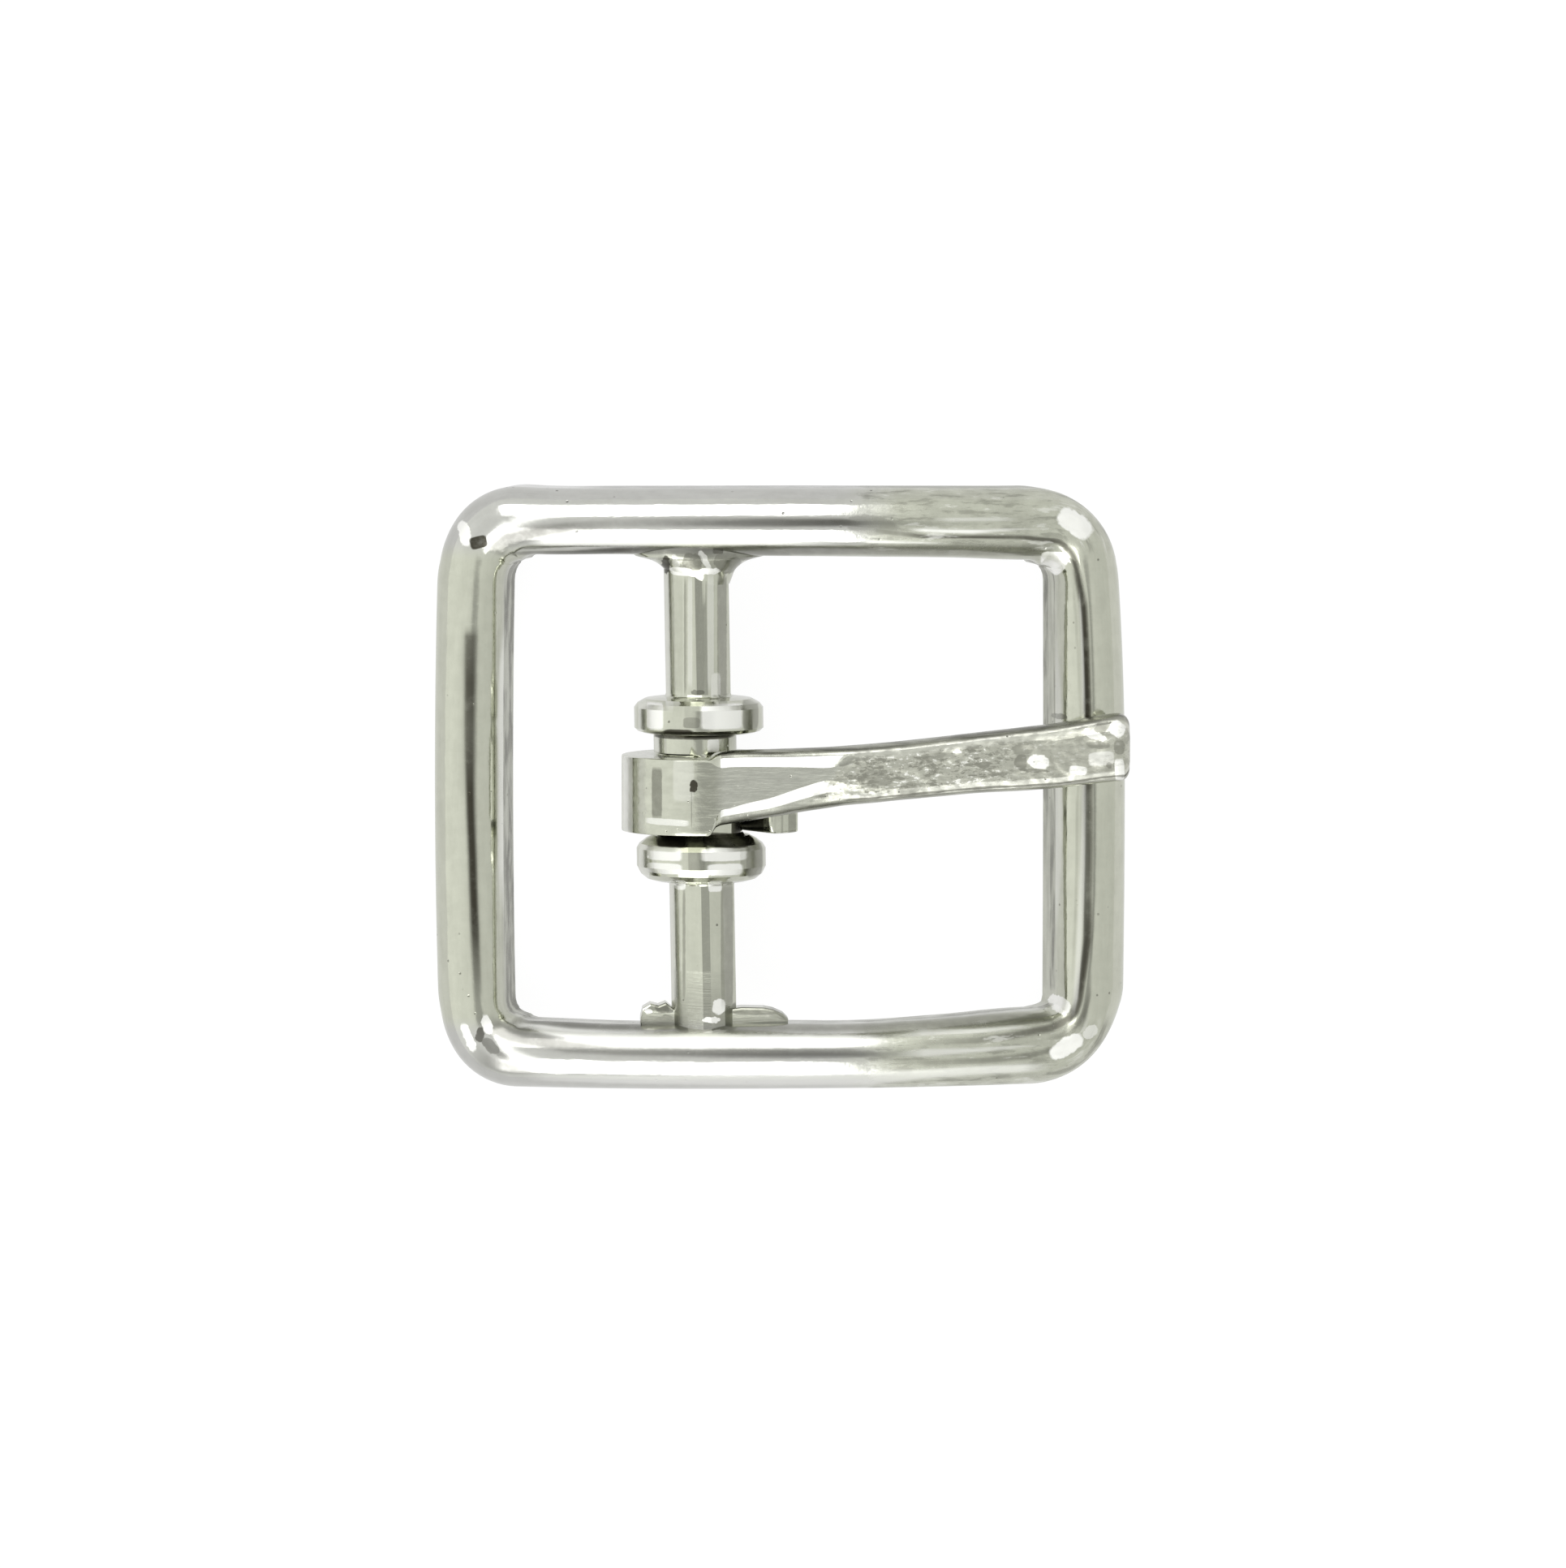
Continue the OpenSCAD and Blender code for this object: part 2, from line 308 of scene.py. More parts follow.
def union(target, others, name):
    """One closed mesh from overlapping solids, with the others removed"""
    for other in others:
        cut = target.modifiers.new("Union", "BOOLEAN")
        cut.operation = "UNION"
        cut.solver = "EXACT"
        cut.object = other
    made = plain_copy(target, name)
    for spent in [target, *others]:
        bpy.data.objects.remove(spent)
    return made


# Angles from which the edges of the pieces stay sharp, in degrees
FRAME_SHARPNESS, TONGUE_SHARPNESS = 16.0, 15.5


def smooth(piece, degrees):
    """Shades a piece smooth except at edges sharper than an angle"""
    mesh = piece.data
    mesh.shade_smooth()
    mesh.set_sharp_from_angle(angle=math.radians(degrees))


# Node helpers


class Net:
    """Adds nodes to a tree. Its methods take outputs or plain values, and return outputs of what they add"""

    def __init__(self, tree):
        self.tree = tree

    def feed(self, value, socket):
        """Links an output to a socket, or sets the socket to a value"""
        if isinstance(value, bpy.types.NodeSocket):
            self.tree.links.new(value, socket)
        else:
            socket.default_value = value

    def add(self, kind, inputs, **settings):
        """The outputs of a new node whose inputs are given by name or number"""
        node = self.tree.nodes.new(kind)
        for key, value in settings.items():
            setattr(node, key, value)
        for label, value in inputs.items():
            self.feed(value, node.inputs[label])
        return node.outputs

    def calc(self, operation, first, *others):
        """The first value, joined with each of the others in turn by a Math operation"""
        if not others:
            return self.add("ShaderNodeMath", {0: first}, operation=operation)[0]
        for other in others:
            first = self.add("ShaderNodeMath", {0: first, 1: other}, operation=operation)[0]
        return first

    def times(self, *values):
        return self.calc("MULTIPLY", *values)

    def plus(self, *values):
        return self.calc("ADD", *values)

    def minus(self, value, less):
        return self.calc("SUBTRACT", value, less)

    def most(self, *values):
        return self.calc("MAXIMUM", *values)

    def apart(self, value, middle):
        """How far a value lies from a middle, either way"""
        return self.calc("ABSOLUTE", self.minus(value, middle))

    def vector(self, operation, *values):
        outputs = self.add("ShaderNodeVectorMath", dict(enumerate(values)), operation=operation)
        return outputs["Value" if operation in ("LENGTH", "DOT_PRODUCT") else "Vector"]

    def scaled(self, vector, factors):
        """A vector times one factor, or times one for each axis"""
        return self.vector("MULTIPLY", vector, factors if isinstance(factors, tuple) else (factors,) * 3)

    def axes(self, vector):
        """A vector's X, Y and Z"""
        return self.add("ShaderNodeSeparateXYZ", {0: vector})

    def fade(self, value, low, high, start=0.0, stop=1.0):
        """A smooth step of value from start at low to stop at high"""
        inputs = {"Value": value, "From Min": low, "From Max": high, "To Min": start, "To Max": stop}
        return self.add("ShaderNodeMapRange", inputs, interpolation_type="SMOOTHSTEP")[0]

    def spread(self, share, start, stop):
        """A share from 0 to 1, spread smoothly from start to stop"""
        return self.fade(share, 0.0, 1.0, start, stop)

    def noise(self, vector, scale, detail, roughness=0.5, output="Fac"):
        inputs = {"Vector": vector, "Scale": scale, "Detail": detail, "Roughness": roughness}
        return self.add("ShaderNodeTexNoise", inputs)[output]

    def mix(self, factor, first, second, blend="MIX"):
        """Two colours mixed by a factor"""
        inputs = {0: factor, 6: first, 7: second}
        return self.add("ShaderNodeMix", inputs, data_type="RGBA", blend_type=blend)[2]

    def attribute(self, name, output="Fac"):
        return self.add("ShaderNodeAttribute", {}, attribute_name=name)[output]

    def group(self, tree, inputs):
        return self.add("ShaderNodeGroup", inputs, node_tree=tree)


def new_group(name, kind, inputs, outputs):
    """The net of an empty group with named sockets, and the sockets of its ends by name"""
    tree = bpy.data.node_groups.new(name, kind)
    for in_out, sockets in (("INPUT", inputs), ("OUTPUT", outputs)):
        for label, holds in sockets.items():
            tree.interface.new_socket(label, in_out=in_out, socket_type="NodeSocket" + holds)
    return Net(tree), tree.nodes.new("NodeGroupInput").outputs, tree.nodes.new("NodeGroupOutput").inputs


def sweep_tree():
    """Sweeps a rail's domed section along a closed line of points that carry the direction up"""
    sizes = dict.fromkeys(("Rail Width", "Wall Height", "Lower Edge", "Point Spacing"), "Float")
    inputs = {"Geometry": "Geometry", **sizes, "Finish": "Material"}
    net, given, result = new_group("Rail Sweep", "GeometryNodeTree", inputs, {"Geometry": "Geometry"})

    def shape(kind, inputs, **settings):
        return net.add("GeometryNode" + kind, inputs, **settings)[0]

    line = shape("MeshToCurve", {0: given["Geometry"]})
    up = net.add("GeometryNodeInputNamedAttribute", {"Name": "up"}, data_type="FLOAT_VECTOR")["Attribute"]
    turned = shape("SetCurveNormal", {"Curve": line, "Normal": up}, mode="FREE")

    dome = net.times(given["Rail Width"], 0.5)
    height = net.plus(dome, given["Wall Height"])
    sides = {"Width": height, "Height": given["Rail Width"]}
    block = shape("CurvePrimitiveQuadrilateral", sides, mode="RECTANGLE")
    lift = net.minus(net.times(height, 0.5), given["Wall Height"])
    offset = net.add("ShaderNodeCombineXYZ", {"X": lift})[0]
    raised = shape("Transform", {"Geometry": block, "Translation": offset})

    place = net.axes(shape("InputPosition", {}))
    is_top = net.add("FunctionNodeCompare", {0: place["X"]}, data_type="FLOAT", operation="GREATER_THAN")[0]
    radii = {"Switch": is_top, "False": given["Lower Edge"], "True": dome}
    radius = shape("Switch", radii, input_type="FLOAT")
    rounding = {"Count": SECTION_ROUNDING, "Limit Radius": True, "Curve": raised, "Radius": radius}
    rounded = shape("FilletCurve", rounding, mode="POLY")
    section = shape("ResampleCurve", {"Curve": rounded, "Length": given["Point Spacing"]}, mode="LENGTH")

    swept = shape("CurveToMesh", {"Curve": turned, "Profile Curve": section})
    real = shape("RealizeInstances", {0: swept})
    finished = shape("SetMaterial", {"Geometry": real, "Material": given["Finish"]})
    net.feed(finished, result["Geometry"])
    return net.tree


def run_tree(piece, tree, values, name):
    """The plain mesh that a tree makes of piece, whose inputs are given by name"""
    modifier = piece.modifiers.new(tree.name, "NODES")
    modifier.node_group = tree
    for item in tree.interface.items_tree:
        if item.in_out == "INPUT" and item.name in values:
            modifier[item.identifier] = values[item.name]
    made = plain_copy(piece, name)
    bpy.data.objects.remove(piece)
    return made


# The frame's parts

# Corners, in millimetres. Columns: side in X, side in Y, radius of the inner web, radius of the outer corner
CORNER_ROWS = (
    (1, 1, 0.95, 3.70),
    (-1, 1, 1.15, 3.22),
    (-1, -1, 0.80, 3.10),
    (1, -1, 0.45, 3.66),
)
# Share of the bow that the inner wall of an end rail leaves out, by side in X
STRAIGHT_SHARE = {1: 0.95, -1: 0.7}
# Outer walls of the end rails, by side in X and in Y: share of the bow that they leave out, and millimetres
# outwards
OUTER_WALLS = {(1, 1): (0.0, 0.08), (1, -1): (0.85, 0.08), (-1, 1): (0.6, 0.0), (-1, -1): (0.6, 0.0)}
# Drift of the long rails from the true outline, in millimetres. Columns: X, top rail in Y, bottom rail in Y,
# and what the inner wall adds to it at the top and at the bottom
DRIFT_ROWS = (
    (-14.0, 0.00, 0.00, 0.06, -0.06),
    (-11.3, 0.00, 0.00, 0.09, -0.10),
    (-9.4, -0.06, 0.00, 0.13, -0.14),
    (-6.5, -0.03, 0.00, 0.14, -0.20),
    (0.0, 0.00, 0.03, 0.06, -0.18),
    (3.2, -0.02, 0.03, 0.04, -0.20),
    (7.0, -0.06, 0.04, 0.00, -0.02),
    (10.0, -0.10, 0.06, -0.10, 0.16),
    (14.0, -0.10, 0.06, -0.10, 0.16),
)
# The crease inside the right rail, in millimetres. Columns: distance along the rails from the top left
# corner, place across the dome from -1 outside to 1 inside, depth
CREASE_ROWS = (
    (0.0, 0.50, 0.0),
    (19.0, 0.40, 0.0),
    (21.6, 0.52, 0.03),
    (23.3, 0.56, 0.045),
    (24.6, 0.44, 0.05),
    (26.2, 0.31, 0.055),
    (29.3, 0.30, 0.055),
    (31.3, 0.31, 0.055),
    (35.9, 0.28, 0.055),
    (40.0, 0.24, 0.05),
    (42.1, 0.34, 0.05),
    (43.5, 0.50, 0.04),
    (45.9, 0.36, 0.0),
    (100.0, 0.50, 0.0),
)
CREASE_HALF_WIDTH = 0.11
# In millimetres from the middle in Y: where the end rails give way to the corners, and over what length, and
# where the long rails' drift is full
CORNER_START, CORNER_BLEND = 10.2, 2.0
LONG_RAIL_START = 9.0


def ease(t):
    t = min(max(t, 0.0), 1.0)
    return t * t * (3 - 2 * t)


def corner_shift(base, cfg, lift, radius, outset):
    """How far a point of a wall, outset from the rail's middle, moves to lie on its corner's rounding"""
    side_x, side_y = (1 if base.x > 0 else -1), (1 if base.y > 0 else -1)
    local = base - lift
    c, s = math.cos(cfg.arch_half), math.sin(cfg.arch_half)
    along, across = side_x * local.x * c - local.z * s, side_y * local.y
    middle_y = (cfg.strap_width + cfg.rail_width) / 2
    corner_y = middle_y - cfg.corner_radius
    bow = max(0.0, corner_y**2 - across**2) / (2 * cfg.bow_radius) if across < corner_y else 0.0
    du = cfg.corner_radius + outset + bow - along
    dv = middle_y + outset - across
    gap = math.hypot(radius - du, radius - dv)
    if du >= radius or dv >= radius or gap <= radius:
        return np.zeros(3)
    pull = 1 - radius / gap
    move_u, move_v = (radius - du) * pull, (radius - dv) * pull
    return np.array((-side_x * move_u * c, -side_y * move_v, move_u * s))


def shape_casting(mesh, cfg, points, ups, inwards, lift):
    """Rounds the corners, creases the right rail and lets the rails drift, as the casting does"""
    count = len(points)
    dome = cfg.rail_width / 2
    place = coordinates(mesh).reshape(count, -1, 3)
    distances = run_lengths(points)
    for k in range(count):
        point, up, inward = (np.array(v) for v in (points[k], ups[k], inwards[k]))
        side = (1 if point[0] > 0 else -1, 1 if point[1] > 0 else -1)
        web, outer_radius = next(row[2:] for row in CORNER_ROWS if row[:2] == side)
        ring = place[k] - point
        lateral, height = ring @ inward / dome, ring @ up / dome
        inner = np.clip(lateral, 0, 1)[:, None] ** 1.6
        outer = np.clip(-lateral, 0, 1)[:, None] ** 1.2
        web_pull = corner_shift(points[k] + inwards[k] * dome, cfg, lift, web * MM, -dome)
        corner_pull = corner_shift(points[k] - inwards[k] * dome, cfg, lift, outer_radius * MM, dome)
        bow = min(abs(point[1]), cfg.strap_width / 2) ** 2 / (2 * cfg.bow_radius)
        straight = np.array((-inward[0], 0, -inward[2])) * bow * STRAIGHT_SHARE[side[0]]
        share, shift = OUTER_WALLS[side]
        before_corner = ease((CORNER_START - abs(point[1]) / MM) / CORNER_BLEND)
        swell = np.array((-inward[0], 0, -inward[2])) * (bow * share * before_corner + shift * MM)
        drifts = row_values(DRIFT_ROWS, point[0] / MM)
        whole, inside = drifts[::2] if point[1] > 0 else drifts[1::2]
        on_long_rail = MM * ease(abs(point[1]) / (LONG_RAIL_START * MM))
        drift = np.zeros_like(ring)
        drift[:, 1] = (whole + inner[:, 0] * inside) * on_long_rail
        crease_at, crease_depth = row_values(CREASE_ROWS, distances[k] / MM)
        offset = (lateral - crease_at) * dome / (CREASE_HALF_WIDTH * MM)
        sunk = np.exp(-(offset**2)) * (height > 0) * max(crease_depth, 0.0) * MM
        place[k] += inner * (web_pull + straight) + outer * (corner_pull + swell) + drift
        place[k] -= sunk[:, None] * up
    mesh.vertices.foreach_set("co", place.reshape(-1))
    mesh.update()


def run_lengths(points):
    """Distance along the rails to each point from the first"""
    lengths = [0.0]
    for before, after in zip(points, points[1:]):
        lengths.append(lengths[-1] + (after - before).length)
    return lengths


# Root of the bar at the upper rail, in millimetres. Columns: distance out of the inner wall, half width, half
# height
ROOT_ROWS = (
    (-0.60, 3.10, 1.52),
    (-0.05, 2.66, 1.52),
    (0.09, 2.14, 1.51),
    (0.22, 1.82, 1.50),
    (0.38, 1.60, 1.485),
    (0.52, 1.46, 1.46),
    (0.64, 1.39, 1.40),
    (0.78, 1.34, 1.34),
    (1.10, 1.22, 1.25),
)
# Casting pad at the bar's lower root, in millimetres. Columns: X, height above the rail's inner wall
PAD_ROWS = (
    (-5.75, 0.10),
    (-5.66, 0.48),
    (-5.35, 0.66),
    (-5.02, 0.58),
    (-4.72, 0.70),
    (-4.40, 0.44),
    (-2.10, 0.44),
    (-1.60, 0.50),
    (-0.70, 0.48),
    (-0.30, 0.40),
    (0.10, 0.22),
    (0.30, 0.02),
)
# Half height of the root below the bar's axis, in millimetres
ROOT_DEPTH = 1.31


def bar_root(cfg):
    """The upper end of the bar, which spreads into the rail"""
    around, steps = 72, 30
    first, last = ROOT_ROWS[0][0], ROOT_ROWS[-1][0]
    rings = []
    for k in range(steps + 1):
        out = first + (last - first) * (k / steps)
        half_x, half_z = row_values(ROOT_ROWS, out)
        ring = []
        for i in range(around):
            a = 2 * math.pi * (i + 0.5) / around
            rise = half_z if math.sin(a) > 0 else min(half_z, ROOT_DEPTH)
            y = cfg.strap_width / 2 - out * MM
            ring.append(Vector((PIVOT.x + half_x * MM * math.cos(a), y, PIVOT.z + rise * MM * math.sin(a))))
        rings.append(ring)
    return mesh_object("bar_root", *loft(rings))


def bar_pad(cfg):
    """The rough pad of casting metal at the bar's lower end"""
    wall, sunk = -cfg.strap_width / 2, 0.5 * MM
    bottom, top, soft = PIVOT.z - 0.75 * MM, PIVOT.z + 0.5 * MM, 0.1 * MM
    rings = []
    edge = (top - soft * 0.3, soft * 0.4)
    for z, draw in ((bottom, soft), (bottom + soft, 0.0), (top - soft, 0.0), edge, (top, soft)):
        ring = [Vector((PAD_ROWS[0][0] * MM + draw, wall - sunk, z))]
        ring += [Vector((x * MM, wall + max(h * MM - draw, -sunk / 2), z)) for x, h in PAD_ROWS]
        ring += [Vector((PAD_ROWS[-1][0] * MM - draw, wall - sunk, z))]
        rings.append(ring)
    return mesh_object("bar_pad", *loft(rings))


def rails(cfg, finish):
    """The four rails in one closed ring, swept along their line and shaped as the casting is"""
    points, ups, inwards, lift = rail_line(cfg)
    count = len(points)
    mesh = bpy.data.meshes.new("rail_line")
    mesh.from_pydata([tuple(p) for p in points], [(i, (i + 1) % count) for i in range(count)], [])
    store(mesh, "up", ups)
    values = {
        "Rail Width": cfg.rail_width,
        "Wall Height": cfg.rail_wall,
        "Lower Edge": cfg.rail_edge,
        "Point Spacing": SECTION_SPACING * MM,
        "Finish": finish,
    }
    made = run_tree(add_object("rail_line", mesh), sweep_tree(), values, "rails")
    shape_casting(made.data, cfg, points, ups, inwards, lift)
    recalculate(made.data)
    return made


# Flats along the bar, in degrees from straight up towards +X, above and below the collars
UPPER_FLATS = (-19.0, -4.3, 16.0, 38.7, 80.0)
LOWER_FLATS = (-32.0, -3.0, 11.5, 38.7, 80.0)
# Profiles of the collars away from the tongue, in millimetres. Columns: fall from the rim, distance from the
# face beside the tongue
UPPER_COLLAR = (
    (0.34, 0.11),
    (0.14, 0.17),
    (0.00, 0.30),
    (0.00, 1.14),
    (0.15, 1.33),
    (0.46, 1.50),
    (0.85, 1.55),
)
LOWER_COLLAR = (
    (0.66, -0.34),
    (0.38, -0.20),
    (0.12, 0.00),
    (0.00, 0.20),
    (0.00, 0.92),
    (0.16, 1.24),
    (0.42, 1.45),
    (0.80, 1.55),
)
# How far the cast barrel stands aside between the eye and the upper collar, in millimetres
BARREL_ASIDE = -0.17
# Where it steps aside beyond the eye's edge, and over what length, in millimetres
ASIDE_GAP, ASIDE_STEP = 0.03, 0.06
# Largest step round the bar, in degrees
TURN_STEP = 3.4


def flat_share(angle, edges):
    """How far in the bar's skin lies at an angle from straight up, as a share of its radius"""
    for start, stop in zip(edges, edges[1:]):
        if start < angle < stop:
            half, off_middle = (stop - start) / 2, angle - (start + stop) / 2
            return math.cos(math.radians(half)) / math.cos(math.radians(off_middle))
    return 1.0


def turned_bar(cfg):
    """The bar with its flats, its barrel and both collars, along the bar's axis"""
    bar, barrel, rim = cfg.bar_diameter / 2, cfg.barrel_diameter / 2, cfg.collar_diameter / 2
    whole, eye = bpy.context.scene.buckle_frame, bpy.context.scene.buckle_tongue
    reach = (whole.strap_width + whole.rail_width) / 2
    fillet = 0.12 * MM
    low = cfg.barrel_shift - cfg.barrel_length / 2
    high = cfg.barrel_shift + cfg.barrel_length / 2

    def collar(face, sense, rows):
        """Profile of a collar from the barrel's side to the bar's: sense is the way along Y"""
        start = face + sense * rows[0][1] * MM
        points = [(barrel, start - sense * fillet), (barrel + fillet, start)]
        points += [(rim - fall * MM, face + sense * out * MM) for fall, out in rows]
        end = face + sense * cfg.collar_thickness
        points += [(bar + fillet, end), (bar + fillet * 0.3, end + sense * fillet * 0.3)]
        return points + [(bar, end + sense * fillet)]

    lower, upper = collar(low, -1, LOWER_COLLAR), collar(high, 1, UPPER_COLLAR)
    beside = eye.eye_shift + eye.eye_width / 2 + ASIDE_GAP * MM
    profile = [(bar, -reach), (bar, (lower[-1][1] - reach) / 2), *reversed(lower)]
    profile += [(barrel, beside), (barrel, beside + ASIDE_STEP * MM), *upper]
    profile += [(bar, (upper[-1][1] + reach) / 2), (bar, reach)]
    marks = sorted({-180.0, 180.0, -80.0, *UPPER_FLATS, *LOWER_FLATS})
    angles = []
    for start, stop in zip(marks, marks[1:]):
        steps = math.ceil((stop - start) / TURN_STEP)
        angles += [start + (stop - start) * i / steps for i in range(steps)]
    rings = []
    for radius, y in profile:
        on_barrel = beside < y < upper[1][1] and bar < radius < barrel * 1.01
        aside = BARREL_ASIDE * MM if on_barrel else 0.0
        middle = PIVOT + Vector((aside - y * math.tan(cfg.bar_lean), y, 0))
        edges = (UPPER_FLATS if y > 0 else LOWER_FLATS) if radius == bar else ()
        ring = []
        for degrees in angles:
            a, r = math.radians(degrees), radius * flat_share(degrees, edges)
            ring.append(middle + Vector((r * math.sin(a), 0, r * math.cos(a))))
        rings.append(ring)
    return mesh_object("turned_bar", *loft(rings))


# Painted dark reflections and painted shade in lines along the rails. Columns: distance along the rails,
# place across the dome from -1 outside to 1 inside, half width as a share of the dome, strength. Distances
# below zero lie before the top left corner
PAINTED_SHADE_LINES = {
    "right rail": (
        (14.2, 0.16, 0.06, 0.0), (14.6, 0.19, 0.08, 0.5), (15.8, 0.30, 0.07, 0.55),
        (16.6, 0.38, 0.055, 0.85), (18.5, 0.40, 0.055, 0.9), (20.6, 0.44, 0.065, 0.85),
        (21.8, 0.55, 0.08, 0.85), (23.3, 0.58, 0.08, 0.85), (24.6, 0.46, 0.08, 0.85),
        (26.2, 0.33, 0.11, 0.95), (28.0, 0.32, 0.11, 1.0), (31.3, 0.33, 0.11, 1.0),
        (34.7, 0.34, 0.15, 0.85), (38.1, 0.30, 0.15, 0.8), (40.0, 0.24, 0.12, 0.95),
        (42.1, 0.35, 0.11, 0.95), (42.7, 0.39, 0.11, 0.9), (43.2, 0.48, 0.11, 0.9),
        (44.0, 0.68, 0.12, 0.85), (45.2, 0.75, 0.11, 0.8), (46.4, 0.63, 0.10, 0.75),
        (47.3, 0.53, 0.10, 0.7), (48.8, 0.42, 0.09, 0.5), (50.7, 0.40, 0.07, 0.3), (52.0, 0.40, 0.05, 0.0),
    ),
    "left rail": (
        (70.5, 0.33, 0.10, 0.0), (71.7, 0.31, 0.10, 0.55), (73.6, 0.32, 0.11, 1.0), (76.5, 0.32, 0.11, 1.0),
        (79.2, 0.28, 0.12, 1.0), (81.8, 0.25, 0.15, 0.85), (83.7, 0.23, 0.16, 0.95),
        (85.7, 0.19, 0.17, 0.8), (86.0, 0.19, 0.17, 0.0),
    ),
    "top rail": (
        (-1.7, 0.60, 0.20, 0.0), (-1.2, 0.62, 0.24, 0.5), (-0.4, 0.55, 0.24, 0.6), (0.3, 0.44, 0.20, 0.64),
        (1.2, 0.25, 0.17, 0.62), (2.4, 0.12, 0.15, 0.5), (4.3, -0.02, 0.12, 0.25), (7.5, -0.06, 0.13, 0.4),
        (10.8, -0.06, 0.13, 0.62), (13.4, -0.06, 0.10, 0.8), (14.0, 0.00, 0.10, 0.5),
        (14.6, 0.12, 0.08, 0.0),
    ),
    "top rail, inner side": (
        (-0.4, 0.92, 0.05, 0.0), (0.6, 0.90, 0.06, 0.6), (2.4, 0.87, 0.07, 0.85), (4.3, 0.79, 0.10, 0.95),
        (5.8, 0.78, 0.11, 0.7), (8.0, 0.78, 0.13, 0.5), (10.8, 0.79, 0.15, 0.5), (14.0, 0.78, 0.14, 0.45),
        (18.5, 0.80, 0.20, 0.42), (21.6, 0.80, 0.20, 0.5), (23.0, 0.86, 0.10, 0.0),
    ),
    "bottom rail": (
        (44.6, 0.15, 0.07, 0.0), (45.9, 0.06, 0.09, 0.6), (46.6, -0.05, 0.10, 0.6),
        (48.3, -0.15, 0.09, 0.5), (50.7, -0.20, 0.08, 0.4), (52.0, -0.14, 0.06, 0.2),
        (53.0, 0.10, 0.08, 0.3), (54.0, 0.16, 0.12, 0.55), (56.5, 0.17, 0.13, 0.62),
        (59.8, 0.18, 0.13, 0.58), (63.2, 0.19, 0.14, 0.55), (65.1, 0.28, 0.18, 0.55),
        (66.5, 0.46, 0.20, 0.60), (67.8, 0.60, 0.22, 0.58), (69.0, 0.58, 0.20, 0.5),
        (70.2, 0.50, 0.15, 0.0),
    ),
    "bottom rail, inner side": (
        (44.4, 0.92, 0.10, 0.0), (45.9, 0.98, 0.14, 0.5), (48.3, 0.94, 0.18, 0.45),
        (50.7, 0.94, 0.18, 0.42), (56.5, 0.88, 0.20, 0.45), (60.0, 0.86, 0.18, 0.5),
        (62.5, 0.87, 0.15, 0.72), (65.5, 0.87, 0.13, 0.78), (66.8, 0.94, 0.10, 0.7),
        (68.2, 0.94, 0.08, 0.0),
    ),
    "bottom left corner, outer side": (
        (66.0, -0.50, 0.10, 0.0), (66.8, -0.42, 0.14, 0.4), (68.2, -0.35, 0.20, 0.45),
        (69.0, -0.30, 0.20, 0.0),
    ),
    "right rail, fine": (
        (25.0, 0.54, 0.03, 0.0), (26.0, 0.54, 0.035, 0.22), (31.0, 0.52, 0.03, 0.18),
        (34.7, 0.62, 0.03, 0.22), (40.5, 0.58, 0.03, 0.18), (42.0, 0.56, 0.03, 0.0),
    ),
    "bottom right corner": (
        (41.2, 0.12, 0.04, 0.0), (42.4, 0.11, 0.06, 0.5), (43.1, 0.22, 0.08, 0.6), (44.2, 0.42, 0.09, 0.6),
        (45.2, 0.44, 0.06, 0.35), (46.0, 0.44, 0.05, 0.0),
    ),
}
